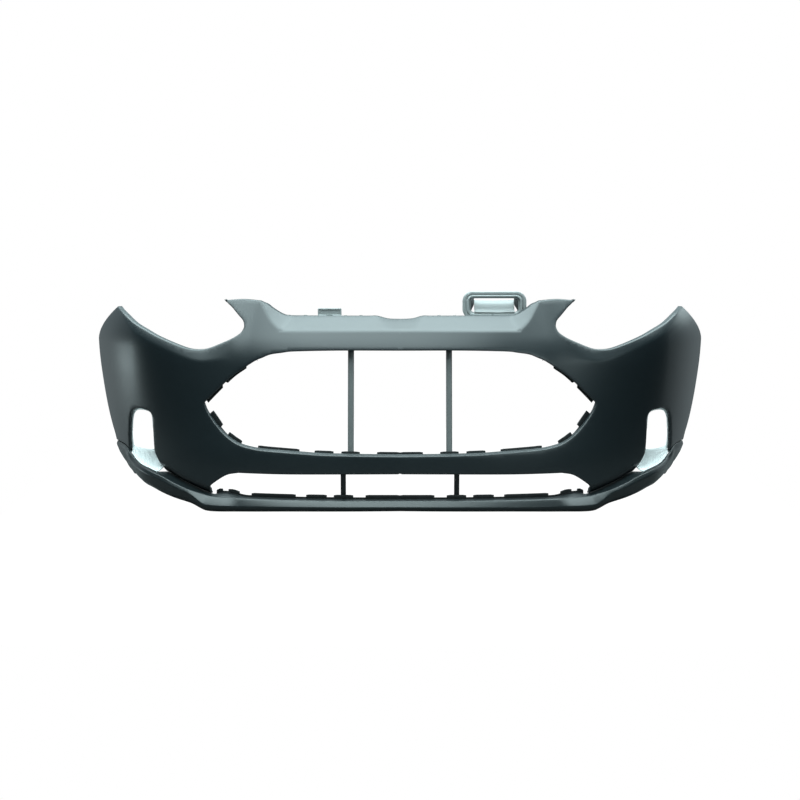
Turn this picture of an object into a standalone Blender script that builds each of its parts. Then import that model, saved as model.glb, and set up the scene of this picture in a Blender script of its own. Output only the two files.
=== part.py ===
"""Front bumper cover of a compact people carrier, as an assembly of its separate mouldings.

Every moulding follows one plan curve, seen from above, and a set-back behind it that depends on
the height. A point of a panel is (s, z): the length along the plan curve from the centre line,
and the height. +Z is up, the nose points to -Y and x = 0 is the plane of symmetry.
"""

import math

import bmesh
import bpy
import numpy as np
from mathutils import Matrix, Vector
from mathutils.geometry import delaunay_2d_cdt

# ---------------------------------------------------------------- driving dimensions, in metres
HALF_WIDTH = 0.870          # half the width that the plan curve tends to
PLAN_DEPTH = 0.600          # depth at which the plan curve reaches that width
BLUNTNESS = 2.7             # how square the plan curve's corner is
NOSE_Y = -0.2565            # y of the foremost point
WALL = 0.003                # skin and lip thickness
THIN_WALL = 0.0025          # brackets and rails
GAP = 0.0015                # parting gap between two mouldings
TOUCH = 0.0004              # gap between a fastener and what it clamps
EDGE_STEP = 0.020           # spacing of points along an outline
GRID_STEP = 0.032           # spacing of points inside a panel
MERGE = 0.0001

BAND_TOP_Z = 0.518          # top edge of the band over the grille, and its fixing flange
TOP_FLANGE = 0.026          # depth of that flange
FLANGE_DROP = 0.005         # step from the top edge down to the flange
FLANGE_Z = BAND_TOP_Z - FLANGE_DROP
MOUTH_RETURN = 0.016        # depth of the returns round the two openings
SIDE_RETURN = 0.013         # returns round the headlamp cut-out and the wheel arch
FOG_RETURN = 0.008
LIP_END = 0.972             # s where the lower lip ends
GRILLE_STRUT_X = 0.130
LOWER_STRUT_X = 0.150
FOG_PLANE_Y = 0.335         # depth of the fog opening's rear frame, from the nose
RIVET_XS = (-0.255, -0.190, -0.105, 0.105, 0.195, 0.250)
RIVET_DEPTH = 0.014         # rivet centre behind the band's top edge
RIVET_HOLE = 0.0040         # radius
NUT_XS = (-0.147, 0.147)
FLOOR_NUT_XS = (-0.300, -0.110, 0.110, 0.300)

# ---------------------------------------------------------------- outlines of the skin, as (s, z)
TOP_EDGE = [(0.0, 0.510), (0.033, 0.5115), (0.062, BAND_TOP_Z), (0.085, BAND_TOP_Z)]
TOP_FLAT = [(0.085, BAND_TOP_Z), (0.325, BAND_TOP_Z)]
TOP_RISE = [(0.325, BAND_TOP_Z), (0.342, 0.5195), (0.361, 0.527), (0.381, 0.538), (0.399, 0.549), (0.422, 0.5565)]
EAR_TOP = [(0.422, 0.5565), (0.482, 0.560), (0.534, 0.557)]
HEADLAMP_EDGE = [
    (0.534, 0.557), (0.522, 0.547), (0.506, 0.536), (0.482, 0.517), (0.464, 0.503), (0.457, 0.490),
    (0.458, 0.481), (0.465, 0.471), (0.486, 0.458), (0.520, 0.444), (0.556, 0.431), (0.585, 0.4275),
    (0.612, 0.430), (0.647, 0.440), (0.705, 0.460), (0.749, 0.477), (0.800, 0.494), (0.864, 0.516),
    (0.926, 0.532),
]
WING_JOINT = [(0.926, 0.532), (0.985, 0.497), (1.045, 0.462), (1.100, 0.432)]
ARCH_EDGE = [
    (1.100, 0.432), (1.104, 0.390), (1.093, 0.340), (1.070, 0.290), (1.040, 0.240), (1.010, 0.200),
    (0.988, 0.174), (0.975, 0.152),
]
FOG_EDGE = [
    (0.870, 0.136), (0.865, 0.165), (0.857, 0.192), (0.845, 0.226), (0.829, 0.247), (0.803, 0.258),
    (0.765, 0.258), (0.740, 0.252), (0.730, 0.236), (0.733, 0.205), (0.735, 0.150), (0.727, 0.128),
    (0.712, 0.108), (0.700, 0.093),
]
MOUTH_SIDE = [(0.535, 0.044), (0.533, 0.054), (0.527, 0.063), (0.519, 0.0715), (0.476, 0.098), (0.440, 0.107)]
MOUTH_TOP = [(0.440, 0.107), (0.321, 0.107), (0.159, 0.109), (0.0, 0.110)]
GRILLE_FOOT = [
    (0.0, 0.156), (0.106, 0.157), (0.212, 0.159), (0.266, 0.162), (0.321, 0.165), (0.383, 0.169),
    (0.427, 0.177), (0.454, 0.187), (0.482, 0.204), (0.505, 0.224), (0.525, 0.245), (0.541, 0.265),
    (0.551, 0.286),
]
GRILLE_HEAD = [
    (0.551, 0.286), (0.543, 0.294), (0.508, 0.327), (0.474, 0.357), (0.440, 0.379), (0.405, 0.400),
    (0.385, 0.408), (0.361, 0.417), (0.327, 0.422), (0.289, 0.426), (0.162, 0.429), (0.0, 0.429),
]
# Folds in the skin.
BAND_CREASE = [
    (-0.1, 0.480), (0.310, 0.479), (0.330, 0.480), (0.346, 0.485), (0.375, 0.507), (0.397, 0.532),
    (0.415, 0.553), (0.460, 0.620),
]
SHOULDER_CREASE = [
    (0.500, 0.404), (0.528, 0.401), (0.569, 0.397), (0.607, 0.404), (0.676, 0.428), (0.726, 0.447),
    (0.777, 0.467), (0.830, 0.492), (0.900, 0.530),
]
CORNER_CREASE = [(0.520, 0.060), (0.579, 0.073), (0.634, 0.087), (0.672, 0.101), (0.720, 0.118)]
# Upper and lower edges of the lip.
LIP_TOP = [
    (0.0, 0.039), (0.43, 0.039), (0.517, 0.040), (0.548, 0.045), (0.590, 0.056), (0.644, 0.072),
    (0.669, 0.081), (0.724, 0.098), (0.810, 0.115), (0.855, 0.127), (0.885, 0.143), (0.930, 0.150),
    (1.02, 0.152),
]
LIP_FOOT = [
    (0.0, 0.012), (0.266, 0.009), (0.420, 0.004), (0.517, 0.0), (0.555, 0.006), (0.597, 0.016),
    (0.650, 0.025), (0.696, 0.035), (0.733, 0.045), (0.780, 0.053), (0.860, 0.071), (0.922, 0.092),
    (0.971, 0.115), (1.02, 0.130),
]
# Rim of the fog pocket on the skin and on the lip's shelf, as (s, z), from its outer foot over the
# top and back along the shelf, and the same points of its rear frame, as (x, z).
POCKET_SIDES = [(0.868, 0.141)] + FOG_EDGE[1:-1]
POCKET_SHELF = [0.716, 0.742, 0.782, 0.820, 0.853]
POCKET_FRAME = [
    (0.743, 0.152), (0.745, 0.176), (0.744, 0.201), (0.742, 0.224), (0.736, 0.239), (0.725, 0.245),
    (0.707, 0.243), (0.695, 0.237), (0.690, 0.224), (0.688, 0.196), (0.685, 0.156), (0.684, 0.146),
    (0.684, 0.139), (0.687, 0.134), (0.700, 0.134), (0.714, 0.136), (0.728, 0.139), (0.739, 0.143),
]

# ---------------------------------------------------------------- teeth of the clip rails, (from, to) in s
GRILLE_TEETH = [(0.0, 0.061), (0.107, 0.157), (0.178, 0.230), (0.272, 0.390), (0.440, 0.482), (0.505, 0.538)]
LOWER_TEETH = [(0.0, 0.092), (0.125, 0.178), (0.197, 0.254), (0.283, 0.410), (0.446, 0.480), (0.498, 0.518)]


# ---------------------------------------------------------------- the shape that all pieces share
def plan_table(steps=3000):
    """Length, x and depth along the plan curve, a superellipse from the nose to the flank."""
    angle = np.linspace(0.0, math.pi / 2, steps)
    x = HALF_WIDTH * np.sin(angle) ** (2 / BLUNTNESS)
    y = PLAN_DEPTH * (1 - np.cos(angle))
    length = np.concatenate([[0.0], np.cumsum(np.hypot(np.diff(x), np.diff(y)))])
    return length, x, y


PLAN_S, PLAN_X, PLAN_Y = plan_table()
TANGENT_REACH = 0.004


def plan(s):
    """x, y and the inward direction (x, y) of the plan curve at lengths s >= 0."""
    x, y = np.interp(s, PLAN_S, PLAN_X), np.interp(s, PLAN_S, PLAN_Y)
    ahead, behind = s + TANGENT_REACH, np.maximum(s - TANGENT_REACH, 0)
    dx = np.interp(ahead, PLAN_S, PLAN_X) - np.interp(behind, PLAN_S, PLAN_X)
    dy = np.interp(ahead, PLAN_S, PLAN_Y) - np.interp(behind, PLAN_S, PLAN_Y)
    dy = np.where(s < MERGE, 0.0, dy)
    size = np.hypot(dx, dy)
    return x, y, -dy / size, dx / size


def blend(low, high, value):
    t = np.clip((value - low) / (high - low), 0, 1)
    return t * t * (3 - 2 * t)


def ramp(value, radius):
    """max(0, value) with its corner rounded over the radius."""
    rounded = (value + radius) ** 2 / (4 * radius)
    return np.where(value <= -radius, 0.0, np.where(value >= radius, value, rounded))


def side_of(line, s, z):
    """Signed distance of (s, z) from a line whose s only grows: positive above it."""
    nearest = np.full(np.shape(s), 1e9)
    for (s0, z0), (s1, z1) in zip(line[:-1], line[1:]):
        ds, dz = s1 - s0, z1 - z0
        t = np.clip(((s - s0) * ds + (z - z0) * dz) / (ds * ds + dz * dz), 0, 1)
        nearest = np.minimum(nearest, np.hypot(s - s0 - t * ds, z - z0 - t * dz))
    line_s, line_z = np.array(line).T
    return np.where(z >= np.interp(s, line_s, line_z), nearest, -nearest)


def skin_setback(s, z):
    """How far the skin's outer face lies behind the plan curve."""
    centre = 0.020 + 0.18 * ramp(z - 0.145, 0.03) + 0.42 * ramp(z - 0.425, 0.04)
    flank = 0.12 * ramp(0.41 - z, 0.06) + 2.5 * np.maximum(z - 0.43, 0) ** 2
    to_flank = blend(0.42, 0.80, s)
    setback = (1 - to_flank) * centre + to_flank * flank
    setback = setback + 1.35 * ramp(side_of(BAND_CREASE, s, z), 0.004)
    shoulder = blend(0.47, 0.57, s) * (1 - blend(0.84, 0.93, s)) * np.where((s < 0.60) & (z > 0.48), 0, 1)
    setback = setback + 0.62 * shoulder * ramp(side_of(SHOULDER_CREASE, s, z), 0.004)
    corner = blend(0.50, 0.54, s) * (1 - blend(0.68, 0.74, s)) * (z < 0.2)
    return setback + 0.8 * corner * ramp(-side_of(CORNER_CREASE, s, z), 0.004)


def place(s, setback, z):
    """World points at a set-back behind the plan curve."""
    s, setback, z = np.broadcast_arrays(np.asarray(s, float), setback, z)
    x, y, inward_x, inward_y = plan(s)
    return np.stack([x + inward_x * setback, NOSE_Y + y + inward_y * setback, z], axis=-1)


def on_skin(s, z, behind=0.0):
    s, z = np.asarray(s, float), np.asarray(z, float)
    return place(s, skin_setback(s, z) + behind, z)


def s_at_x(x, z):
    """s of the skin's point at that distance from the centre line and that height."""
    s = np.linspace(0, LIP_END, 400)
    return float(np.interp(abs(x), on_skin(s, np.full(len(s), z))[:, 0], s))


def lip_base(s):
    """How far the lip's foremost line lies behind the plan curve: none at the front, more on the flank."""
    return 0.026 * blend(0.72, 0.88, s) + 0.004 * blend(0.869, 0.90, s)


def height(line, s):
    """Height of a smooth curve through the line's points."""
    points = smooth_run(line, 0.004)
    return np.interp(s, points[:, 0], points[:, 1])


# ---------------------------------------------------------------- curves and meshes
def smooth_run(points, step):
    """Points about a step apart on a Catmull-Rom curve through the given ones."""
    points = np.array(points, float)
    before, after = 2 * points[0] - points[1], 2 * points[-1] - points[-2]
    padded = np.vstack([before, points, after])
    t = np.linspace(0, 1, 17)[:-1, None]
    fine = []
    for a, b, c, d in zip(padded, padded[1:], padded[2:], padded[3:]):
        fine.append(0.5 * (2 * b + (c - a) * t + (2 * a - 5 * b + 4 * c - d) * t**2
                           + (3 * b - a - 3 * c + d) * t**3))
    fine = np.vstack([*fine, points[-1:]])
    length = np.concatenate([[0], np.cumsum(np.hypot(*np.diff(fine, axis=0).T))])
    at = np.linspace(0, length[-1], max(2, round(length[-1] / step) + 1))
    return np.stack([np.interp(at, length, fine[:, k]) for k in (0, 1)], axis=-1)


def joined(*runs):
    """One closed outline from runs that each begin where the last one ended."""
    return np.vstack([run[:-1] for run in runs])


def inside(outline, points):
    """Whether each point lies inside the closed outline."""
    within = np.zeros(len(points), bool)
    for (s0, z0), (s1, z1) in zip(outline, np.roll(outline, -1, axis=0)):
        crosses = (z0 > points[:, 1]) != (z1 > points[:, 1])
        with np.errstate(divide="ignore", invalid="ignore"):
            at = s0 + (points[:, 1] - z0) * (s1 - s0) / (z1 - z0)
        within ^= crosses & (points[:, 0] < at)
    return within


def triangulated(outline, creases=(), step=GRID_STEP):
    """(s, z) points and triangles that fill the outline, with an edge along every crease."""
    points, edges = list(map(tuple, outline)), []
    count = len(points)
    edges += [(k, (k + 1) % count) for k in range(count)]
    lines = [outline]
    for crease in creases:
        run = smooth_run(crease, EDGE_STEP)
        clear = np.min(np.hypot(*(run[:, None] - outline[None]).transpose(2, 0, 1)), axis=1)
        run = run[inside(outline, run) & (clear > 0.45 * EDGE_STEP)]
        edges += [(len(points) + k, len(points) + k + 1) for k in range(len(run) - 1)]
        points += list(map(tuple, run))
        lines.append(run)
    low, high = outline.min(axis=0), outline.max(axis=0)
    s, z = np.meshgrid(np.arange(low[0] + step / 2, high[0], step), np.arange(low[1] + step / 2, high[1], step))
    grid = np.stack([s.ravel(), z.ravel()], axis=-1)
    grid = grid[inside(outline, grid)]
    near = np.vstack(lines)
    clear = np.min(np.hypot(*(grid[:, None] - near[None]).transpose(2, 0, 1)), axis=1)
    points += list(map(tuple, grid[clear > 0.6 * step]))
    found = delaunay_2d_cdt([Vector(p) for p in points], edges, [], 0, 1e-6)
    flat = np.array([tuple(p) for p in found[0]])
    faces = np.array([face for face in found[2]])
    middles = flat[faces].mean(axis=1)
    return flat, faces[inside(outline, middles)]


def border_edges(faces):
    """Edges with one face, each in that face's direction."""
    ends = np.concatenate([faces[:, [0, 1]], faces[:, [1, 2]], faces[:, [2, 0]]])
    known = {tuple(edge) for edge in ends.tolist()}
    return [edge for edge in ends.tolist() if (edge[1], edge[0]) not in known]


def new_material(name, colour, roughness, metallic=0.0):
    material = bpy.data.materials.new(name)
    material.use_nodes = True
    shader = material.node_tree.nodes["Principled BSDF"]
    shader.inputs["Base Color"].default_value = (*colour, 1.0)
    shader.inputs["Roughness"].default_value = roughness
    shader.inputs["Metallic"].default_value = metallic
    return material


def mesh_object(name, points, faces, material, collection):
    mesh = bpy.data.meshes.new(name)
    mesh.from_pydata([tuple(p) for p in points], [], [tuple(f) for f in faces])
    mesh.validate()
    thing = bpy.data.objects.new(name, mesh)
    collection.objects.link(thing)
    mesh.materials.append(material)
    mesh.shade_smooth()
    mesh.set_sharp_from_angle(angle=math.radians(35))
    return thing


def mirror(thing):
    modifier = thing.modifiers.new("Mirror", "MIRROR")
    modifier.merge_threshold = MERGE
    modifier.use_clip = True


def solidify(thing, thickness):
    """Adds the wall on the inner side of the open surface."""
    modifier = thing.modifiers.new("Wall", "SOLIDIFY")
    modifier.thickness = thickness
    modifier.offset = -1


def apply_modifiers(thing):
    graph = bpy.context.evaluated_depsgraph_get()
    mesh = bpy.data.meshes.new_from_object(thing.evaluated_get(graph))
    thing.modifiers.clear()
    thing.data = mesh


def drill(thing, cutters):
    """Cuts each cutter out of the thing."""
    for cutter in cutters:
        modifier = thing.modifiers.new("Drill " + cutter.name, "BOOLEAN")
        modifier.operation = "DIFFERENCE"
        modifier.solver = "EXACT"
        modifier.object = cutter


def half_and_twin(name, build):
    """Two handed copies of a piece: the one at +X, and its mirror image at -X."""
    right = build(name + "_right")
    apply_modifiers(right)
    left = right.copy()
    left.data = right.data.copy()
    left.name = name + "_left"
    right.users_collection[0].objects.link(left)
    left.data.transform(Matrix.Scale(-1, 4, Vector((1, 0, 0))))
    left.data.flip_normals()
    return right, left


# ---------------------------------------------------------------- the skin
def skin_outline():
    """The half skin's closed outline, from the top centre outwards and back along both openings."""
    foot = height(LIP_TOP, np.array([ARCH_EDGE[-1][0], FOG_EDGE[0][0]])) + GAP
    outer_s = np.linspace(ARCH_EDGE[-1][0], FOG_EDGE[0][0], 8)
    inner_s = np.linspace(FOG_EDGE[-1][0], MOUTH_SIDE[0][0], 10)
    outer_foot = np.stack([outer_s, height(LIP_TOP, outer_s) + GAP], axis=-1)
    inner_foot = np.stack([inner_s, height(LIP_TOP, inner_s) + GAP], axis=-1)
    arch, fog, mouth = [list(line) for line in (ARCH_EDGE, FOG_EDGE, MOUTH_SIDE)]
    arch[-1], fog[0] = (arch[-1][0], foot[0]), (fog[0][0], foot[1])
    fog[-1], mouth[0] = tuple(inner_foot[0]), tuple(inner_foot[-1])
    smooth = [smooth_run(line, EDGE_STEP) for line in
              (TOP_EDGE, TOP_FLAT, TOP_RISE, EAR_TOP, HEADLAMP_EDGE, WING_JOINT, arch)]
    return joined(
        *smooth, outer_foot, smooth_run(fog, 0.015), inner_foot, smooth_run(mouth, 0.012),
        smooth_run(MOUTH_TOP, 0.03), np.array([(0.0, 0.110), (0.0, 0.133), (0.0, 0.156)]),
        smooth_run(GRILLE_FOOT, EDGE_STEP), smooth_run(GRILLE_HEAD, EDGE_STEP),
        np.array([(0.0, 0.429), (0.0, 0.455), (0.0, 0.480), (0.0, 0.510)]),
    )


def return_at(s, z):
    """Steps of the return at a point of the skin's border, as offsets from that point."""
    _, _, inward_x, inward_y = plan(np.asarray(s, float))
    inward = np.array([float(inward_x), float(inward_y), 0.0])
    if z > BAND_TOP_Z - 0.012 and s < 0.33:
        return [np.array([0, 0.004, -FLANGE_DROP]), np.array([0, TOP_FLANGE, -FLANGE_DROP])]
    if 0.155 < z < 0.43 and s < 0.555:
        return [np.array([0, MOUTH_RETURN, 0])]
    if z < 0.112 and s < 0.53:
        return [np.array([0, MOUTH_RETURN, 0])]
    if z < 0.27 and 0.69 < s < 0.875:
        return [FOG_RETURN * inward]
    return [SIDE_RETURN * inward]


def strip(here, there):
    """Triangles between two runs of points, the shorter one ending in a fan."""
    faces = []
    for row in range(max(len(here), len(there)) - 1):
        a, b = here[min(row, len(here) - 1)], there[min(row, len(there) - 1)]
        c, d = here[min(row + 1, len(here) - 1)], there[min(row + 1, len(there) - 1)]
        faces += [face for face in ((b, a, c), (b, c, d)) if len(set(face)) == 3]
    return faces


def make_skin(material, collection):
    """The cover: one open surface with a return along every edge, walled and mirrored."""
    creases = (BAND_CREASE, SHOULDER_CREASE, CORNER_CREASE)
    flat, faces = triangulated(skin_outline(), creases)
    points = list(on_skin(flat[:, 0], flat[:, 1]))
    faces = [tuple(face) for face in faces]
    behind = {}
    for a, b in border_edges(np.array(faces)):
        if flat[a, 0] < MERGE and flat[b, 0] < MERGE:
            continue
        for corner in (a, b):
            if corner not in behind:
                steps = return_at(*flat[corner])
                behind[corner] = [corner, *range(len(points), len(points) + len(steps))]
                points += [points[corner] + step for step in steps]
        faces += strip(behind[a], behind[b])
    skin = mesh_object("bumper_skin", points, faces, material, collection)
    mirror(skin)
    solidify(skin, WALL)
    return skin


# ---------------------------------------------------------------- the lower lip
def shelf_rise(s):
    """How far the back of the lip's shelf rises above its front, near the ends of the lower opening."""
    return 0.009 * blend(0.42, 0.48, s) * (1 - blend(0.50, 0.53, s))


def lip_section(s):
    """(set-back, z) of the lip's outer face, from the back of its shelf to the back of its floor."""
    top, foot, base = float(height(LIP_TOP, s)), float(height(LIP_FOOT, s)), float(lip_base(s))
    blade = float(blend(0.50, 0.58, s))
    shallow = float(blend(0.700, 0.712, s))
    at_fog = shallow * float(1 - blend(0.858, 0.869, s))
    scoop = float(blend(0.38, 0.44, s)) * (1 - blade)
    tall = top - foot
    tail = float(blend(0.845, 0.869, s))
    shelf_back = 0.050 + 0.010 * blade - 0.038 * shallow - 0.8 * base * at_fog - 0.005 * tail
    brow = 0.010 + 0.016 * scoop - 0.004 * blade - 0.003 * tail
    shelf_back = max(shelf_back, brow + 0.006)
    nose_z = foot + tall * (0.30 + 0.50 * blade - 0.06 * scoop)
    shoulder_z = top - (0.35 + 0.45 * scoop) * (top - nose_z)
    chin = 0.004 + 0.016 * blade
    floor_back = 0.085 - 0.035 * float(blend(0.70, 0.80, s)) - 0.028 * tail
    section = [
        (shelf_back, top + float(shelf_rise(s))), (brow, top - 0.1 * scoop * tall),
        (0.4 * brow + 0.001 - 0.008 * scoop, shoulder_z),
        (0.0, nose_z), (0.5 * chin, foot + 0.25 * tall), (chin + 0.004, foot), (floor_back, foot),
    ]
    return [(base + setback, z) for setback, z in section]


def make_lip(material, collection):
    """The lower lip: a C-shaped section swept from the centre round to the wheel arch."""
    stations = np.concatenate([np.linspace(0, 0.40, 13), np.linspace(0.42, 0.70, 15),
                               np.linspace(0.712, 0.858, 8), np.linspace(0.869, LIP_END, 7)])
    points, faces = [], []
    for row, s in enumerate(stations):
        section = lip_section(s)
        points += [place(s, setback, z) for setback, z in section]
        if row == 0:
            continue
        width = len(section)
        here, last = row * width, (row - 1) * width
        faces += [(last + k, last + k + 1, here + k + 1, here + k) for k in range(width - 1)]
    lip = mesh_object("lower_lip", points, faces, material, collection)
    mirror(lip)
    solidify(lip, WALL)
    return lip


# ---------------------------------------------------------------- sheets that follow the skin
def make_sheet(name, outline, behind, material, collection, thickness=THIN_WALL, step=0.03, setback=None):
    """A thin sheet with the given outline, lying a distance behind the skin's outer face."""
    flat, faces = triangulated(np.asarray(outline, float), step=step)
    depth = skin_setback(flat[:, 0], flat[:, 1]) + behind if setback is None else setback(flat[:, 0])
    sheet = mesh_object(name, place(flat[:, 0], depth, flat[:, 1]), faces, material, collection)
    solidify(sheet, thickness)
    return sheet


def castle(teeth, base, gap, tooth, end):
    """Outline of a half rail with teeth, as (s, distance above the rail's guide line)."""
    low = [(s, base) for s in np.linspace(end, 0, round(end / 0.02) + 1)]
    high = []
    for start, stop in teeth:
        if start > 0:
            high.append((start, gap))
        high += [(s, tooth) for s in np.linspace(start, stop, max(2, round((stop - start) / 0.03) + 1))]
        high.append((stop, gap))
    if teeth[-1][1] < end:
        high.append((end, gap))
    return low + high


def beside(line, outline):
    """(s, z) of outline points given as (s, distance square to the line, on its upper side)."""
    points = []
    for s, away in outline:
        slope = float(height(line, s + 0.004) - height(line, max(s - 0.004, 0))) / (s + 0.004 - max(s - 0.004, 0))
        size = math.hypot(1, slope)
        points.append((s - away * slope / size if s > 0 else 0.0, float(height(line, s)) + away / size))
    return np.array(points)


def make_grille_rail(material, collection):
    """The clip rail behind the grille opening's lower edge; its teeth stand above the skin's return."""
    outline = beside(GRILLE_FOOT, castle(GRILLE_TEETH, -0.020, -0.002, 0.0088, 0.538))
    rail = make_sheet("grille_clip_rail_lower", outline, 0, material, collection, setback=grille_rail_setback)
    mirror_first(rail)
    return rail


def grille_rail_setback(s):
    """Set-back of the rail, just behind the return of the grille opening's lower edge."""
    return skin_setback(s, height(GRILLE_FOOT, s)) + MOUTH_RETURN + 0.0025


def mirror_first(thing):
    mirror(thing)
    thing.modifiers.move(len(thing.modifiers) - 1, 0)


def make_lower_rail(material, collection):
    """The clip rail standing on the lip's shelf behind the lower opening."""
    outline = beside(LIP_TOP, castle(LOWER_TEETH, TOUCH, 0.0045, 0.0110, 0.518))
    outline[:, 1] += 0.9 * shelf_rise(outline[:, 0])
    rail = make_sheet("lower_clip_rail", outline, 0, material, collection,
                      setback=lambda s: np.full(np.shape(s), 0.044))
    mirror_first(rail)
    return rail


def make_head_rail(name, material, collection):
    """The clip rail behind the sloping upper side of the grille opening."""
    line = smooth_run(GRILLE_HEAD[:6], 0.012)
    way = np.gradient(line, axis=0)
    out = np.stack([-way[:, 1], way[:, 0]], axis=-1) / np.hypot(*way.T)[:, None]
    length = np.concatenate([[0], np.cumsum(np.hypot(*np.diff(line, axis=0).T))])
    gaps = [(0.062, 0.078), (0.150, 0.186)]
    solid = np.array([not any(low < at < high for low, high in gaps) for at in length])
    inner = line + out * np.where(solid, 0.0012, -0.005)[:, None]
    outer = line - out * 0.016
    outline = np.vstack([inner, outer[::-1]])
    return make_sheet(name, outline, MOUTH_RETURN / 0.9 + 0.002, material, collection)


# ---------------------------------------------------------------- straight bars
def make_bar(name, section, start, stop, material, collection):
    """A bar with the section (x, y) points, from one point up to another one above it."""
    shape = bmesh.new()
    low = [shape.verts.new(Vector(start) + Vector((x, y, 0))) for x, y in section]
    high = [shape.verts.new(Vector(stop) + Vector((x, y, 0))) for x, y in section]
    shape.faces.new(low[::-1])
    shape.faces.new(high)
    for k in range(len(section)):
        n = (k + 1) % len(section)
        shape.faces.new((low[k], low[n], high[n], high[k]))
    bmesh.ops.recalc_face_normals(shape, faces=shape.faces)
    mesh = bpy.data.meshes.new(name)
    shape.to_mesh(mesh)
    shape.free()
    bar = bpy.data.objects.new(name, mesh)
    mesh.materials.append(material)
    collection.objects.link(bar)
    return bar


def t_section(width, rib):
    """Section of a strut: a crowned front strap with a rib behind it."""
    half, crown, wall = width / 2, 0.002, 0.0028
    return [(-half, crown), (-half / 2, 0.0005), (0, 0), (half / 2, 0.0005), (half, crown),
            (half, crown + wall), (wall / 2, crown + wall), (wall / 2, rib), (-wall / 2, rib),
            (-wall / 2, crown + wall), (-half, crown + wall)]


def make_strut(name, x, low_z, high_z, behind, width, rib, material, collection):
    start = on_skin(s_at_x(x, low_z), low_z, behind[0])
    stop = on_skin(s_at_x(x, high_z), high_z, behind[1])
    sign = math.copysign(1, x)
    return make_bar(name, t_section(width, rib), (sign * abs(x), start[1], low_z),
                    (sign * abs(x), stop[1], high_z), material, collection)


# ---------------------------------------------------------------- fog pockets
def make_pocket(name, material, collection):
    """The fog lamp pocket: walls from behind the skin's opening, and from the lip's shelf, to a rear frame."""
    sides, shelf = np.array(POCKET_SIDES), np.array(POCKET_SHELF)
    wall_front = on_skin(sides[:, 0], sides[:, 1], FOG_RETURN + 0.004)
    shelf_back = np.array([lip_section(s)[0][0] for s in shelf])
    floor_front = place(shelf, shelf_back + GAP, height(LIP_TOP, shelf) - 0.0008)
    front = np.vstack([wall_front, floor_front])
    frame = np.array([(x, NOSE_Y + FOG_PLANE_Y, z) for x, z in POCKET_FRAME])
    rear = frame + np.array([0, 0.010, 0])
    flange = rear + (rear - rear.mean(axis=0)) * np.array([0.22, 0, 0.14])
    rows = [front, frame, rear, flange]
    count = len(frame)
    points = np.vstack(rows)
    faces = []
    for row in range(len(rows) - 1):
        for k in range(count):
            n = (k + 1) % count
            a, b = row * count + k, row * count + n
            faces.append((a, b, b + count, a + count))
    pocket = mesh_object(name, points, faces, material, collection)
    modifier = pocket.modifiers.new("Wall", "SOLIDIFY")
    modifier.thickness = THIN_WALL
    modifier.offset = -1
    return pocket


# ---------------------------------------------------------------- duct bezel, locating tab, brackets
def rounded_box(width, tall, radius, segments=5):
    """(x, z) points of a rectangle with round corners, anticlockwise, centred on the origin."""
    points = []
    for turn, (sx, sz) in enumerate(((1, 1), (-1, 1), (-1, -1), (1, -1))):
        centre = (sx * (width / 2 - radius), sz * (tall / 2 - radius))
        for k in range(segments + 1):
            angle = math.pi / 2 * (turn + k / segments)
            points.append((centre[0] + radius * math.cos(angle), centre[1] + radius * math.sin(angle)))
    return points


def ring(name, outer, inner, centre, depth, material, collection):
    """A frame between two outlines of as many (x, z) points, from y to y + depth."""
    count = len(outer)
    points = []
    for y in (0.0, depth):
        for line in (outer, inner):
            points += [(centre[0] + x, centre[1] + y, centre[2] + z) for x, z in line]
    faces = []
    for k in range(count):
        n = (k + 1) % count
        fo, fi, bo, bi = k, count + k, 2 * count + k, 3 * count + k
        fo2, fi2, bo2, bi2 = n, count + n, 2 * count + n, 3 * count + n
        faces += [(fo, fi, fi2, fo2), (bo, bo2, bi2, bi), (fo, fo2, bo2, bo), (fi, bi, bi2, fi2)]
    frame = mesh_object(name, points, faces, material, collection)
    shape = bmesh.new()
    shape.from_mesh(frame.data)
    bmesh.ops.recalc_face_normals(shape, faces=shape.faces)
    shape.to_mesh(frame.data)
    shape.free()
    return frame


def box(name, low, high, material, collection, bevel=0.0):
    thing = mesh_box(name, low, high)
    thing.data.materials.append(material)
    collection.objects.link(thing)
    if bevel:
        modifier = thing.modifiers.new("Bevel", "BEVEL")
        modifier.width = bevel
        modifier.segments = 2
    return thing


def mesh_box(name, low, high):
    low, high = Vector(low), Vector(high)
    shape = bmesh.new()
    bmesh.ops.create_cube(shape, size=1.0)
    size = high - low
    bmesh.ops.transform(shape, matrix=Matrix.Translation((low + high) / 2) @ Matrix.Diagonal((*size, 1)),
                        verts=shape.verts)
    mesh = bpy.data.meshes.new(name)
    shape.to_mesh(mesh)
    shape.free()
    return bpy.data.objects.new(name, mesh)


def cylinder(name, x, y, low, high, radius, sides=16):
    shape = bmesh.new()
    matrix = Matrix.Translation((x, y, (low + high) / 2))
    bmesh.ops.create_cone(shape, cap_ends=True, segments=sides, radius1=radius, radius2=radius,
                          depth=high - low, matrix=matrix)
    mesh = bpy.data.meshes.new(name)
    shape.to_mesh(mesh)
    shape.free()
    return bpy.data.objects.new(name, mesh)


def union(thing, others):
    """Joins the other closed shapes to the thing and removes them."""
    for other in others:
        modifier = thing.modifiers.new("Join", "BOOLEAN")
        modifier.operation = "UNION"
        modifier.solver = "EXACT"
        modifier.object = other
    bpy.context.view_layer.update()
    apply_modifiers(thing)
    for other in others:
        bpy.data.objects.remove(other)


DUCT_CENTRE = (0.2565, NOSE_Y + 0.2270, 0.5405)
DUCT_SIZE = (0.173, 0.074)
DUCT_DEPTH = 0.026


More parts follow.
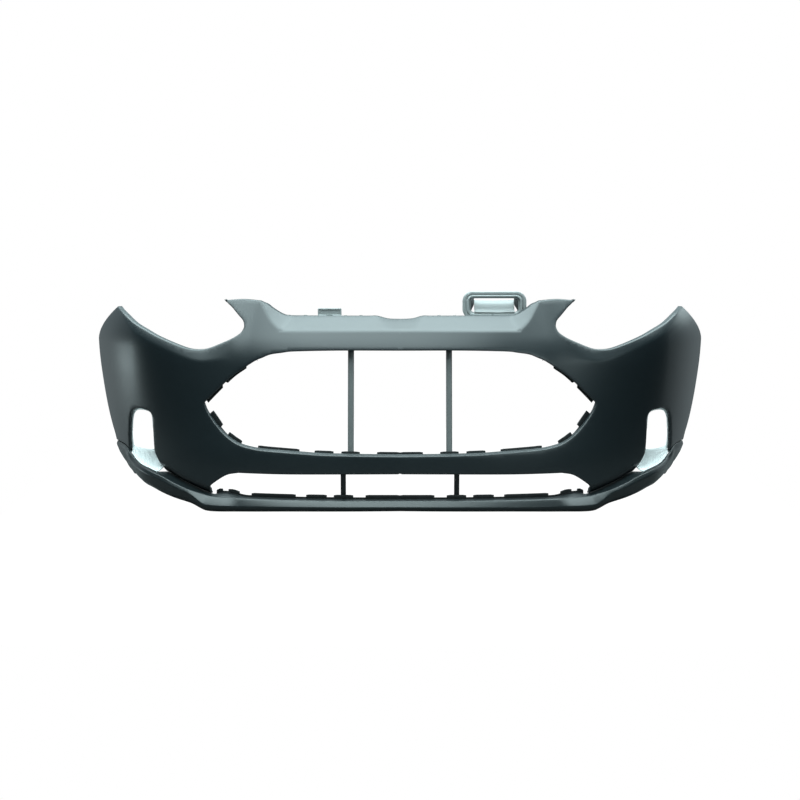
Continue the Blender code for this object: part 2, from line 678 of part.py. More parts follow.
def make_duct(material, panel_material, collection, cutters):
    """The loop-shaped mouth of the air duct behind the band, its foot on the top flange, and its floor."""
    outer = rounded_box(*DUCT_SIZE, 0.026)
    inner = rounded_box(DUCT_SIZE[0] - 0.044, DUCT_SIZE[1] - 0.036, 0.010)
    bezel = ring("duct_bezel", outer, inner, DUCT_CENTRE, DUCT_DEPTH, material, collection)
    foot = mesh_box("foot", (0.180, flange_front(0.262) + 0.006, FLANGE_Z + TOUCH),
                    (0.262, DUCT_CENTRE[1] + 0.006, FLANGE_Z + TOUCH + THIN_WALL))
    collection.objects.link(foot)
    union(bezel, [foot])
    for x in RIVET_XS[-2:]:
        drill(bezel, [cutters[x]])
    floor_low = DUCT_CENTRE[2] - DUCT_SIZE[1] / 2 + 0.018
    wide = DUCT_SIZE[0] / 2 - 0.022 - 0.010
    back = DUCT_CENTRE[1] + DUCT_DEPTH
    section = [(DUCT_CENTRE[1] + 0.004, floor_low + 0.0006), (back + 0.018, floor_low + 0.030),
               (back + 0.018, floor_low + 0.0325), (DUCT_CENTRE[1] + 0.004, floor_low + 0.0031)]
    corners = [(DUCT_CENTRE[0] + side * wide, y, z) for side in (-1, 1) for y, z in section]
    faces = [(3, 2, 1, 0), (4, 5, 6, 7), (0, 1, 5, 4), (1, 2, 6, 5), (2, 3, 7, 6), (3, 0, 4, 7)]
    panel = mesh_object("duct_floor", corners, faces, panel_material, collection)
    shape = bmesh.new()
    shape.from_mesh(panel.data)
    bmesh.ops.recalc_face_normals(shape, faces=shape.faces)
    shape.to_mesh(panel.data)
    shape.free()
    return bezel, panel


def flange_front(x):
    """y of the band's top edge at x."""
    return float(on_skin(s_at_x(x, BAND_TOP_Z), BAND_TOP_Z)[1])


def make_tab(material, collection, cutters):
    """The locating tab on the top flange: a foot and an upright plate with a raised rim."""
    x, half = RIVET_XS[1], 0.032
    front = flange_front(x)
    base_z = FLANGE_Z + TOUCH
    tab = box("locating_tab", (x - half, front + 0.010, base_z), (x + half, front + 0.030, base_z + THIN_WALL),
              material, collection)
    upright = mesh_box("upright", (x - half, front + 0.0245, base_z + 0.0005), (x + half, front + 0.0295, base_z + 0.0205))
    recess = mesh_box("recess", (x - 0.028, front + 0.02, base_z + 0.0065), (x + 0.028, front + 0.0260, base_z + 0.0165))
    collection.objects.link(upright)
    union(tab, [upright])
    cutters_collection().objects.link(recess)
    hide_cutter(recess)
    drill(tab, [recess, cutters[x]])
    return tab


def cutters_collection():
    return bpy.data.collections["cutters"]


def hide_cutter(cutter):
    cutter.hide_render = True
    cutter.display_type = "WIRE"


def make_wing_bracket(name, material, collection):
    """The side retainer behind the wing's joint with the fender, with its row of hooks."""
    line = smooth_run([(0.955, 0.500), (1.005, 0.470), (1.060, 0.438), (1.086, 0.424)], 0.011)
    way = np.gradient(line, axis=0)
    out = np.stack([-way[:, 1], way[:, 0]], axis=-1) / np.hypot(*way.T)[:, None]
    up = line - out * 0.004
    hooks = np.where(np.arange(len(line)) % 4 < 2, 0.030, 0.020)[:, None]
    outline = np.vstack([up, (line - out * hooks)[::-1]])
    return make_sheet(name, outline, WALL + 0.003, material, collection)


def make_headlamp_bracket(name, material, collection):
    """The bracket behind the headlamp cut-out: a plate on the skin's inner face."""
    outline = [(0.560, 0.320), (0.640, 0.330), (0.662, 0.372), (0.640, 0.388), (0.560, 0.380), (0.545, 0.350)]
    return make_sheet(name, outline, WALL + 0.003, material, collection)


# ---------------------------------------------------------------- fasteners
def screw_profile(name, profile, x, y, z, material, collection, sides=16):
    """A turned piece: (radius, height) points down its outer side, from the axis to the axis."""
    mesh = bpy.data.meshes.new(name)
    mesh.from_pydata([(r, 0, h) for r, h in profile], [(k, k + 1) for k in range(len(profile) - 1)], [])
    mesh.materials.append(material)
    thing = bpy.data.objects.new(name, mesh)
    collection.objects.link(thing)
    thing.location = (x, y, z)
    turn = thing.modifiers.new("Turn", "SCREW")
    turn.steps = turn.render_steps = sides
    turn.use_merge_vertices = True
    turn.merge_threshold = MERGE
    return thing


def make_rivet(number, x, seat, material, collection):
    """An expanding push rivet on a seat height: a collar with a tapered shank, and its sliding centre pin."""
    y = flange_front(x) + RIVET_DEPTH
    bore, pin = 0.0022, 0.0018
    body_profile = [
        (bore, 0.0020), (0.0075, 0.0020), (0.0088, 0.0008), (0.0088, TOUCH), (0.0035, TOUCH),
        (0.0035, -0.0120), (0.0029, -0.0140), (bore, -0.0140), (bore, 0.0020),
    ]
    pin_profile = [
        (0.0, 0.0036), (0.0040, 0.0034), (0.0046, 0.0024), (pin, 0.0024), (pin, -0.0125), (0.0, -0.0140),
    ]
    body = screw_profile(f"push_rivet_{number}", body_profile, x, y, seat, material, collection)
    core = screw_profile(f"push_rivet_pin_{number}", pin_profile, x, y, seat, material, collection)
    return body, core


def make_nut(name, x, y, z, material, collection):
    """A folded spring nut clipped over an edge: two leaves and a bridge."""
    leaf, wide, deep, bite = 0.0012, 0.016, 0.016, WALL + 0.0008
    section = [
        (0, 0), (deep, 0), (deep, -leaf), (leaf, -leaf), (leaf, -leaf - bite), (deep, -leaf - bite),
        (deep, -2 * leaf - bite), (0, -2 * leaf - bite),
    ]
    points = [(x + side * wide / 2, y - dy, z + dz) for side in (-1, 1) for dy, dz in section]
    count = len(section)
    faces = [tuple(range(count)), tuple(range(2 * count - 1, count - 1, -1))]
    faces += [(k, (k + 1) % count, count + (k + 1) % count, count + k) for k in range(count)]
    nut = mesh_object(name, points, faces, material, collection)
    shape = bmesh.new()
    shape.from_mesh(nut.data)
    bmesh.ops.recalc_face_normals(shape, faces=shape.faces)
    shape.to_mesh(nut.data)
    shape.free()
    return nut


# ---------------------------------------------------------------- assembly
def main():
    for thing in list(bpy.data.objects):
        bpy.data.objects.remove(thing)
    parts = bpy.data.collections.new("bumper_cover")
    cut = bpy.data.collections.new("cutters")
    for collection in (parts, cut):
        bpy.context.scene.collection.children.link(collection)
    primer = new_material("satin_primer", (0.010, 0.016, 0.019), 0.40)
    lip_black = new_material("lip_primer", (0.009, 0.014, 0.016), 0.38)
    grain = new_material("black_plastic", (0.022, 0.024, 0.025), 0.55)
    grey = new_material("grey_plastic", (0.300, 0.350, 0.350), 0.42)
    pocket_pale = new_material("pocket_plastic", (0.700, 0.750, 0.750), 0.45)
    steel = new_material("spring_steel", (0.32, 0.32, 0.30), 0.35, 1.0)

    holes = {}
    for x in RIVET_XS:
        y = flange_front(x) + RIVET_DEPTH
        holes[x] = cylinder(f"rivet_hole_{round(1000 * x)}", x, y, FLANGE_Z - 0.009, FLANGE_Z + 0.009, RIVET_HOLE)
        cut.objects.link(holes[x])
        hide_cutter(holes[x])

    skin = make_skin(primer, parts)
    drill(skin, holes.values())
    make_lip(lip_black, parts)
    make_grille_rail(grain, parts)
    make_lower_rail(grain, parts)
    half_and_twin("grille_clip_rail", lambda name: make_head_rail(name, grain, parts))
    for side, sign in (("left", -1), ("right", 1)):
        make_strut(f"grille_strut_{side}", sign * GRILLE_STRUT_X, 0.146, 0.440, (0.026, 0.024), 0.016, 0.013,
                   grey, parts)
        make_strut(f"lower_strut_{side}", sign * LOWER_STRUT_X, 0.0405, 0.116, (0.034, 0.024), 0.014, 0.011,
                   grain, parts)
    half_and_twin("fog_pocket", lambda name: make_pocket(name, pocket_pale, parts))
    half_and_twin("wing_bracket", lambda name: make_wing_bracket(name, grain, parts))
    half_and_twin("headlamp_bracket", lambda name: make_headlamp_bracket(name, grain, parts))
    make_duct(grey, grey, parts, holes)
    make_tab(grey, parts, holes)
    foot_thick = TOUCH + THIN_WALL
    for number, x in enumerate(RIVET_XS, 1):
        on_foot = x in (RIVET_XS[1], *RIVET_XS[-2:])
        make_rivet(number, x, FLANGE_Z + (foot_thick if on_foot else 0.0), grain, parts)
    for number, x in enumerate(NUT_XS, 1):
        make_nut(f"flange_nut_{number}", x, flange_front(x) + TOP_FLANGE + 0.003, FLANGE_Z + 0.0016, steel, parts)
    for number, x in enumerate(FLOOR_NUT_XS, 1):
        s = float(np.interp(abs(x), PLAN_X, PLAN_S))
        x_back, y_back, z = place(s, lip_section(s)[-1][0], float(height(LIP_FOOT, s)))
        make_nut(f"undertray_nut_{number}", math.copysign(x_back, x), y_back + 0.0045, z + WALL + 0.0016, steel, parts)
    bpy.context.view_layer.update()


main()
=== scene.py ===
"""Studio picture of a front bumper cover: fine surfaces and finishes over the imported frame.

Panels follow one plan curve, seen from above, and a set-back behind it. A point of a panel is
(s, z): the length along the plan curve from the centre line, and the height. Metres, +Z up, the
nose towards -Y.
"""

import math

import bmesh
import bpy
import numpy as np
from mathutils import Matrix, Vector
from mathutils.geometry import delaunay_2d_cdt
from mathutils.kdtree import KDTree


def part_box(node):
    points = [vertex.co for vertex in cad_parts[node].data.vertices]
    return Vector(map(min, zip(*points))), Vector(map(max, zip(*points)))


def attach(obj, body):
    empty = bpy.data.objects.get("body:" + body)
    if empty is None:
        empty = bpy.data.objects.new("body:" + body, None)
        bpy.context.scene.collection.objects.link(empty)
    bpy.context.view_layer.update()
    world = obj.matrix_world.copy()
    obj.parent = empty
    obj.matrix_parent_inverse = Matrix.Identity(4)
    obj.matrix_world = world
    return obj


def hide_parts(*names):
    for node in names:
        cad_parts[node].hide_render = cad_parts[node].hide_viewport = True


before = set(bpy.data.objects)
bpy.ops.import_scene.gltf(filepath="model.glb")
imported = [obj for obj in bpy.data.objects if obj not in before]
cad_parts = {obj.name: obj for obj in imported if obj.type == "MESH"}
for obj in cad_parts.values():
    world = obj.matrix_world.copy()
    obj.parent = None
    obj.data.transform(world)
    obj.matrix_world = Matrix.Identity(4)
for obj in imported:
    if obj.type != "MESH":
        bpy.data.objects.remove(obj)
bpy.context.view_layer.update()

COVER = "cover"
SIDES = (("left", -1), ("right", 1))
SKIN_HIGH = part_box("bumper_skin")[1]
LIP_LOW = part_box("lower_lip")[0]

# ------------------------ driving dimensions, in metres
HALF_WIDTH = SKIN_HIGH.x + 0.0087   # half the width that the plan curve tends to
PLAN_DEPTH = 0.600                  # depth at which the plan curve reaches that width
BLUNTNESS = 2.7                     # how square the plan curve's corner is
NOSE_Y = LIP_LOW.y                  # y of the foremost point
WALL = 0.0028
MERGE = 0.0001                      # points this close to the plane of symmetry are joined there
EDGE_RADIUS = 0.0034                # rounding of the skin's edges
BAND_TOP_Z = 0.518                  # top edge of the band over the grille
TOP_FLANGE = 0.026
FLANGE_DROP = 0.005                 # step from the top edge down to its fixing flange
SCOOP_DEPTH = 0.0065                # shallow plain hollow in the middle of the band
SCOOP_REACH = 0.035
WING_GROOVE_S = 1.062               # shallow groove down the wing, near the wheel arch
WING_GROOVE_DEPTH = 0.0030
FLOOR_RIB = 0.0010                  # ribs on the fog pocket's floor
DUCT_TALL = 0.074                   # height of the loop round the duct's mouth
DUCT_DEPTH = 0.026                  # depth of that loop
MOUTH_RETURN = 0.016                # returns behind the skin's edges
SIDE_RETURN = 0.013
FOG_RETURN = 0.008
LIP_END = 0.972                     # s of the lip's ends
GRILLE_STRUT_X = 0.130
LOWER_STRUT_X = 0.150
RAIL_WALL = 0.0025
BRACKET_WALL = 0.0022
RIVETS = 6
UNDERTRAY_NUTS = 4
FOG_PLANE_Y = 0.335                 # depth of the fog pocket's rear frame, from the nose
GAP = 0.0015                        # between the skin's lower edge and the lip
EDGE_STEP = 0.005
EDGE_TURNS = (30, 60, 90)           # degrees round a rolled edge where it has rows of points
GRID_STEP = 0.0075
FOLD_ROWS = (-0.0075, -0.004, -0.0015, 0.0015, 0.004, 0.0075)   # rows of points beside each crease
CREASE_STEP = 0.005
HEIGHT_STEP = 0.004
RAIL_STEP = 0.008

# ------------------------ outlines of the skin, as (s, z)
TOP_EDGE = [(0.0, 0.510), (0.033, 0.5115), (0.062, BAND_TOP_Z), (0.085, BAND_TOP_Z)]
TOP_FLAT = [(0.085, BAND_TOP_Z), (0.325, BAND_TOP_Z)]
TOP_RISE = [
    (0.325, BAND_TOP_Z), (0.342, 0.5195), (0.361, 0.527), (0.381, 0.538), (0.399, 0.549), (0.422, 0.5565),
]
EAR_TOP = [(0.422, 0.5565), (0.482, 0.560), (0.534, 0.557)]
HEADLAMP_EDGE = [
    (0.534, 0.557), (0.522, 0.547), (0.506, 0.536), (0.482, 0.517), (0.464, 0.503), (0.457, 0.490),
    (0.458, 0.481), (0.465, 0.471), (0.486, 0.458), (0.520, 0.444), (0.556, 0.431), (0.585, 0.4275),
    (0.612, 0.430), (0.647, 0.440), (0.705, 0.460), (0.749, 0.477), (0.800, 0.494), (0.864, 0.516),
    (0.926, 0.532),
]
WING_JOINT = [(0.926, 0.532), (0.985, 0.497), (1.045, 0.462), (1.100, 0.432)]
ARCH_EDGE = [
    (1.100, 0.432), (1.104, 0.390), (1.093, 0.340), (1.070, 0.290), (1.040, 0.240), (1.010, 0.200),
    (0.988, 0.174), (0.975, 0.152),
]
FOG_EDGE = [
    (0.870, 0.136), (0.865, 0.165), (0.857, 0.192), (0.845, 0.226), (0.829, 0.247), (0.803, 0.258),
    (0.765, 0.258), (0.740, 0.252), (0.730, 0.236), (0.733, 0.205), (0.735, 0.150), (0.727, 0.128),
    (0.712, 0.108), (0.700, 0.093),
]
MOUTH_SIDE = [
    (0.535, 0.044), (0.533, 0.054), (0.527, 0.063), (0.519, 0.0715), (0.476, 0.097), (0.440, 0.105),
]
MOUTH_TOP = [(0.440, 0.105), (0.321, 0.105), (0.159, 0.107), (0.0, 0.108)]
GRILLE_FOOT = [
    (0.0, 0.156), (0.106, 0.157), (0.212, 0.159), (0.266, 0.162), (0.321, 0.165), (0.383, 0.169),
    (0.427, 0.177), (0.454, 0.187), (0.482, 0.204), (0.505, 0.224), (0.525, 0.245), (0.541, 0.265),
    (0.551, 0.286),
]
GRILLE_HEAD = [
    (0.551, 0.286), (0.543, 0.294), (0.508, 0.327), (0.474, 0.357), (0.440, 0.379), (0.405, 0.400),
    (0.385, 0.408), (0.361, 0.417), (0.327, 0.422), (0.289, 0.426), (0.162, 0.429), (0.0, 0.429),
]
BAND_CREASE = [
    (-0.1, 0.480), (0.310, 0.479), (0.330, 0.480), (0.346, 0.485), (0.375, 0.507), (0.397, 0.532),
    (0.415, 0.553), (0.460, 0.620),
]
SHOULDER_CREASE = [
    (0.500, 0.404), (0.528, 0.401), (0.569, 0.397), (0.607, 0.404), (0.676, 0.428), (0.726, 0.447),
    (0.777, 0.467), (0.830, 0.492), (0.900, 0.530),
]
CORNER_CREASE = [(0.520, 0.060), (0.579, 0.073), (0.634, 0.087), (0.672, 0.101), (0.720, 0.118)]
SCOOP_CREASE = [(0.034, 0.470), (0.038, 0.480), (0.066, 0.520), (0.073, 0.530)]
LIP_TOP = [
    (0.0, 0.039), (0.43, 0.039), (0.517, 0.040), (0.548, 0.045), (0.590, 0.056), (0.644, 0.072),
    (0.669, 0.081), (0.724, 0.094), (0.810, 0.110), (0.855, 0.125), (0.885, 0.143), (0.930, 0.150),
    (1.02, 0.152),
]
LIP_FOOT = [
    (0.0, 0.012), (0.266, 0.009), (0.420, 0.004), (0.517, 0.0), (0.555, 0.006), (0.597, 0.016),
    (0.650, 0.025), (0.696, 0.035), (0.733, 0.045), (0.780, 0.052), (0.860, 0.068), (0.922, 0.084),
    (0.971, 0.105), (1.02, 0.120),
]
# teeth and gaps of the rails, as lengths from the centre line or from the rail's upper end
GRILLE_TEETH = [
    (0.0, 0.061), (0.107, 0.157), (0.178, 0.230), (0.272, 0.390), (0.440, 0.482), (0.505, 0.538),
]
LOWER_TEETH = [
    (0.0, 0.092), (0.125, 0.178), (0.197, 0.254), (0.283, 0.410), (0.446, 0.480), (0.498, 0.518),
]
HEAD_RAIL_GAPS = [(0.062, 0.078), (0.150, 0.186)]
# the fog pocket: its sides as (s, z), its floor's front as s, and its rear frame as (x, z)
POCKET_SIDES = [(0.868, 0.141)] + FOG_EDGE[1:-1]
POCKET_SHELF = [0.716, 0.742, 0.782, 0.820, 0.853]
POCKET_FRAME = [
    (0.743, 0.152), (0.745, 0.176), (0.744, 0.201), (0.742, 0.224), (0.736, 0.239), (0.725, 0.245),
    (0.707, 0.243), (0.695, 0.237), (0.690, 0.224), (0.688, 0.196), (0.685, 0.156), (0.684, 0.146),
    (0.684, 0.139), (0.687, 0.134), (0.700, 0.134), (0.714, 0.136), (0.728, 0.139), (0.739, 0.143),
]


# ------------------------ the shape that all panels share
def plan_table(steps=4000):
    """Length, x and depth along the plan curve, a superellipse from the nose to the flank."""
    angle = np.linspace(0.0, math.pi / 2, steps)
    x = HALF_WIDTH * np.sin(angle) ** (2 / BLUNTNESS)
    y = PLAN_DEPTH * (1 - np.cos(angle))
    length = np.concatenate([[0.0], np.cumsum(np.hypot(np.diff(x), np.diff(y)))])
    return length, x, y


PLAN_S, PLAN_X, PLAN_Y = plan_table()


def plan(s):
    """x, y and the inward direction (x, y) of the plan curve at lengths s >= 0."""
    x, y = np.interp(s, PLAN_S, PLAN_X), np.interp(s, PLAN_S, PLAN_Y)
    ahead, behind = s + 0.004, np.maximum(s - 0.004, 0)
    dx = np.interp(ahead, PLAN_S, PLAN_X) - np.interp(behind, PLAN_S, PLAN_X)
    dy = np.interp(ahead, PLAN_S, PLAN_Y) - np.interp(behind, PLAN_S, PLAN_Y)
    dy = np.where(s < 1e-4, 0.0, dy)
    size = np.hypot(dx, dy)
    return x, y, -dy / size, dx / size


def blend(low, high, value):
    t = np.clip((value - low) / (high - low), 0, 1)
    return t * t * (3 - 2 * t)


def ramp(value, radius):
    """max(0, value) with its corner rounded over the radius."""
    rounded = (value + radius) ** 2 / (4 * radius)
    return np.where(value <= -radius, 0.0, np.where(value >= radius, value, rounded))


def catmull_rom(a, b, c, d, t):
    """Points from b (t = 0) to c (t = 1) on a smooth curve through a, b, c and d."""
    return 0.5 * (2 * b + (c - a) * t + (2 * a - 5 * b + 4 * c - d) * t**2
                  + (3 * b - a - 3 * c + d) * t**3)


def run_length(points):
    """Length along a polyline at each of its points."""
    return np.concatenate([[0], np.cumsum(np.linalg.norm(np.diff(points, axis=0), axis=1))])


def smooth_run(points, step):
    """Points about a step apart on a Catmull-Rom curve through the given ones."""
    points = np.array(points, float)
    before, after = 2 * points[0] - points[1], 2 * points[-1] - points[-2]
    padded = np.vstack([before, points, after])
    t = np.linspace(0, 1, 17)[:-1, None]
    spans = zip(padded, padded[1:], padded[2:], padded[3:])
    fine = np.vstack([*[catmull_rom(*span, t) for span in spans], points[-1:]])
    length = run_length(fine)
    at = np.linspace(0, length[-1], max(2, round(length[-1] / step) + 1))
    return np.stack([np.interp(at, length, column) for column in fine.T], axis=-1)


def side_of(line, s, z):
    """Signed distance of (s, z) from a line whose s only grows: positive above it."""
    nearest = np.full(np.shape(s), 1e9)
    for (s0, z0), (s1, z1) in zip(line[:-1], line[1:]):
        ds, dz = s1 - s0, z1 - z0
        t = np.clip(((s - s0) * ds + (z - z0) * dz) / (ds * ds + dz * dz), 0, 1)
        nearest = np.minimum(nearest, np.hypot(s - s0 - t * ds, z - z0 - t * dz))
    line_s, line_z = np.array(line).T
    return np.where(z >= np.interp(s, line_s, line_z), nearest, -nearest)


BAND_LINE = smooth_run(BAND_CREASE, 0.012)
SHOULDER_LINE = smooth_run(SHOULDER_CREASE, 0.015)
CORNER_LINE = smooth_run(CORNER_CREASE, 0.015)


def skin_setback(s, z):
    """How far the skin's outer face lies behind the plan curve."""
    # the slopes of the middle and of the flank
    centre = 0.020 + 0.18 * ramp(z - 0.145, 0.03) + 0.42 * ramp(z - 0.425, 0.04)
    flank = 0.12 * ramp(0.41 - z, 0.06) + 2.5 * np.maximum(z - 0.43, 0) ** 2
    to_flank = blend(0.42, 0.80, s)
    setback = (1 - to_flank) * centre + to_flank * flank
    # the faces above the band's and the shoulder's crease, and below the lower corner's
    setback = setback + 1.35 * ramp(side_of(BAND_LINE, s, z), 0.004)
    shoulder = blend(0.47, 0.57, s) * (1 - blend(0.84, 0.93, s)) * np.where((s < 0.60) & (z > 0.48), 0, 1)
    setback = setback + 0.30 * shoulder * ramp(side_of(SHOULDER_LINE, s, z), 0.004)
    corner = blend(0.50, 0.54, s) * (1 - blend(0.68, 0.74, s)) * (z < 0.2)
    setback = setback + 0.8 * corner * ramp(-side_of(CORNER_LINE, s, z), 0.005)
    # the hollow in the band and the groove in the wing
    into_scoop = np.clip(ramp(side_of(SCOOP_CREASE, s, z), 0.002) / SCOOP_REACH, 0, 1)
    scoop = SCOOP_DEPTH * into_scoop * (2 - into_scoop) * (s < 0.09) * (z > 0.478)
    setback = setback + scoop * np.clip((z - 0.480) / 0.030, 0, 1)
    groove = np.exp(-((s - WING_GROOVE_S) / 0.005) ** 2)
    groove = groove * blend(0.330, 0.350, z) * (1 - blend(0.425, 0.450, z))
    return setback + WING_GROOVE_DEPTH * groove


def place(s, setback, z):
    """World points at a set-back behind the plan curve."""
    s, setback, z = np.broadcast_arrays(np.asarray(s, float), setback, z)
    x, y, inward_x, inward_y = plan(s)
    return np.stack([x + inward_x * setback, NOSE_Y + y + inward_y * setback, z], axis=-1)


def on_skin(s, z, behind=0.0):
    s, z = np.asarray(s, float), np.asarray(z, float)
    return place(s, skin_setback(s, z) + behind, z)


def height(line, s):
    """Height of a smooth curve through the line's points."""
    points = smooth_run(line, HEIGHT_STEP)
    return np.interp(s, points[:, 0], points[:, 1])


def s_at_x(x, z):
    """s of the skin's point at that distance from the centre line and that height."""
    s = np.linspace(0, LIP_END, 800)
    return float(np.interp(abs(x), on_skin(s, np.full(len(s), z))[:, 0], s))


def lip_base(s):
    """How far the lip's foremost line lies behind the plan curve."""
    return 0.026 * blend(0.72, 0.88, s) + 0.004 * blend(0.869, 0.90, s)


# ------------------------ meshes
def joined(*runs):
    """One closed outline from runs that each begin where the last one ended."""
    return np.vstack([run[:-1] for run in runs])


def inside(outline, points):
    """Whether each point lies inside the closed outline."""
    within = np.zeros(len(points), bool)
    for (s0, z0), (s1, z1) in zip(outline, np.roll(outline, -1, axis=0)):
        crosses = (z0 > points[:, 1]) != (z1 > points[:, 1])
        with np.errstate(divide="ignore", invalid="ignore"):
            at = s0 + (points[:, 1] - z0) * (s1 - s0) / (z1 - z0)
        within ^= crosses & (points[:, 0] < at)
    return within


def tree_of(points):
    tree = KDTree(len(points))
    for k, point in enumerate(points):
        tree.insert((point[0], point[1], 0), k)
    tree.balance()
    return tree


def clearance(points, others):
    """Distance of each (s, z) point from the nearest of the others."""
    tree = tree_of(others)
    return np.array([tree.find((p[0], p[1], 0))[2] for p in points])


def left_of(line):
    """Unit vectors square to a line of points, to the left of its direction."""
    way = np.gradient(line, axis=0)
    return np.stack([-way[:, 1], way[:, 0]], axis=-1) / np.hypot(*way.T)[:, None]


def triangulated(outline, folds=(), step=GRID_STEP):
    """(s, z) points and triangles that fill the outline, with rows of points along every fold."""
    points = outline
    count = len(outline)
    edges = [(k, (k + 1) % count) for k in range(count)]
    for fold in folds:
        line = smooth_run(fold, CREASE_STEP)
        for away in FOLD_ROWS:
            row = line + left_of(line) * away
            row = row[inside(outline, row)]
            row = row[clearance(row, points) > 0.0017]
            points = np.vstack([points, row])
    low, high = outline.min(axis=0), outline.max(axis=0)
    across, up = [np.arange(low[k] + step / 2, high[k], step) for k in (0, 1)]
    s, z = np.meshgrid(across, up)
    s[1::2] += step / 2
    grid = np.stack([s.ravel(), z.ravel()], axis=-1)
    grid = grid[inside(outline, grid)]
    points = np.vstack([points, grid[clearance(grid, points) > 0.62 * step]])
    found = delaunay_2d_cdt([Vector(p) for p in points.tolist()], edges, [], 0, 1e-7)
    flat = np.array([tuple(p) for p in found[0]])
    faces = np.array(found[2])
    return flat, faces[inside(outline, flat[faces].mean(axis=1))]


def border_edges(faces):
    """Edges with one face, each in that face's direction."""
    ends = np.concatenate([faces[:, [0, 1]], faces[:, [1, 2]], faces[:, [2, 0]]]).tolist()
    known = {tuple(edge) for edge in ends}
    return [edge for edge in ends if (edge[1], edge[0]) not in known]


def quads(rows, count):
    """Quads between rows of count points each, given in one list."""
    starts = [row * count + k for row in range(rows - 1) for k in range(count - 1)]
    return [(a, a + 1, a + count + 1, a + count) for a in starts]


def mesh_object(name, points, faces, material):
    mesh = bpy.data.meshes.new(name)
    mesh.from_pydata([tuple(p) for p in points], [], [tuple(f) for f in faces])
    mesh.validate()
    thing = bpy.data.objects.new(name, mesh)
    bpy.context.scene.collection.objects.link(thing)
    mesh.materials.append(material)
    mesh.shade_smooth()
    return thing


def finished(thing, wall=0.0, mirrored=False, bevel=0.0, angle=40):
    """Applies a mirror, a wall and a bevel, and marks the sharp edges."""
    if mirrored:
        modifier = thing.modifiers.new("Mirror", "MIRROR")
        modifier.merge_threshold = MERGE
    if wall:
        modifier = thing.modifiers.new("Wall", "SOLIDIFY")
        modifier.thickness = wall
        modifier.offset = -1
    if bevel:
        modifier = thing.modifiers.new("Bevel", "BEVEL")
        modifier.width = bevel
        modifier.segments = 2
        modifier.angle_limit = math.radians(40)
    bpy.context.view_layer.update()
    graph = bpy.context.evaluated_depsgraph_get()
    mesh = bpy.data.meshes.new_from_object(thing.evaluated_get(graph))
    thing.modifiers.clear()
    thing.data = mesh
    mesh.shade_smooth()
    mesh.set_sharp_from_angle(angle=math.radians(angle))
    return thing


def twin(thing, name):
    """The mirror image at -X of a piece at +X."""
    other = bpy.data.objects.new(name, thing.data.copy())
    bpy.context.scene.collection.objects.link(other)
    other.data.transform(Matrix.Scale(-1, 4, Vector((1, 0, 0))))
    other.data.flip_normals()
    return other


def settle(piece, node):
    """Declares that a piece rides on the cover and stands for a CAD node."""
    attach(piece, COVER)
    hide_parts(node)


def settle_pair(right, left_name, node):
    """Settles the right-hand piece, makes its mirror image at the left and settles that too."""
    settle(right, node + "_right")
    settle(twin(right, left_name), node + "_left")


# ------------------------ the skin
def skin_outline():
    """The half skin's closed outline, from the top centre outwards and back along both openings."""
    arch, fog, mouth = [list(line) for line in (ARCH_EDGE, FOG_EDGE, MOUTH_SIDE)]
    runs = [np.linspace(arch[-1][0], fog[0][0], 20), np.linspace(fog[-1][0], mouth[0][0], 32)]
    outer_foot, inner_foot = [np.stack([s, height(LIP_TOP, s) + GAP], axis=-1) for s in runs]
    arch[-1], fog[0] = tuple(outer_foot[0]), tuple(outer_foot[-1])
    fog[-1], mouth[0] = tuple(inner_foot[0]), tuple(inner_foot[-1])
    upper = [smooth_run(line, EDGE_STEP) for line in
             (TOP_EDGE, TOP_FLAT, TOP_RISE, EAR_TOP, HEADLAMP_EDGE, WING_JOINT, arch)]
    fog, mouth, mouth_top, grille_foot, grille_head = [
        smooth_run(line, EDGE_STEP) for line in (fog, mouth, MOUTH_TOP, GRILLE_FOOT, GRILLE_HEAD)]
    mid_bar, band = [np.stack([np.zeros(count), np.linspace(low, high, count)], axis=-1)
                     for low, high, count in ((0.110, 0.156, 8), (0.429, 0.510, 13))]
    return joined(*upper, outer_foot, fog, inner_foot, mouth, mouth_top, mid_bar, grille_foot,
                  grille_head, band)


def outward(outline):
    """Outward normals of the outline, level with the plane of symmetry where it meets it."""
    ahead = np.roll(outline, -1, axis=0) - outline
    on_plane = (outline[:, 0] < 1e-9) & (np.roll(outline, -1, axis=0)[:, 0] < 1e-9)
    edge_normal = np.stack([-ahead[:, 1], ahead[:, 0]], axis=-1) / np.hypot(*ahead.T)[:, None]
    edge_normal[on_plane] = 0
    normal = edge_normal + np.roll(edge_normal, 1, axis=0)
    normal[outline[:, 0] < 1e-9, 0] = 0
    return normal / np.maximum(np.hypot(*normal.T), 1e-9)[:, None]


def edge_radii(outline):
    """The edge rounding at each point, less where the panel narrows to a tip."""
    tree = tree_of(outline)
    count = len(outline)
    radii = np.full(count, EDGE_RADIUS)
    for k, point in enumerate(outline):
        for _, other, away in tree.find_range((point[0], point[1], 0), 0.03):
            apart = min((other - k) % count, (k - other) % count) * EDGE_STEP
            if apart > 1.6 * away + 0.004:
                radii[k] = min(radii[k], max(0.0005, 0.28 * away))
    smooth = (np.roll(radii, 1) + radii + np.roll(radii, -1)) / 3
    return np.minimum(radii, smooth)


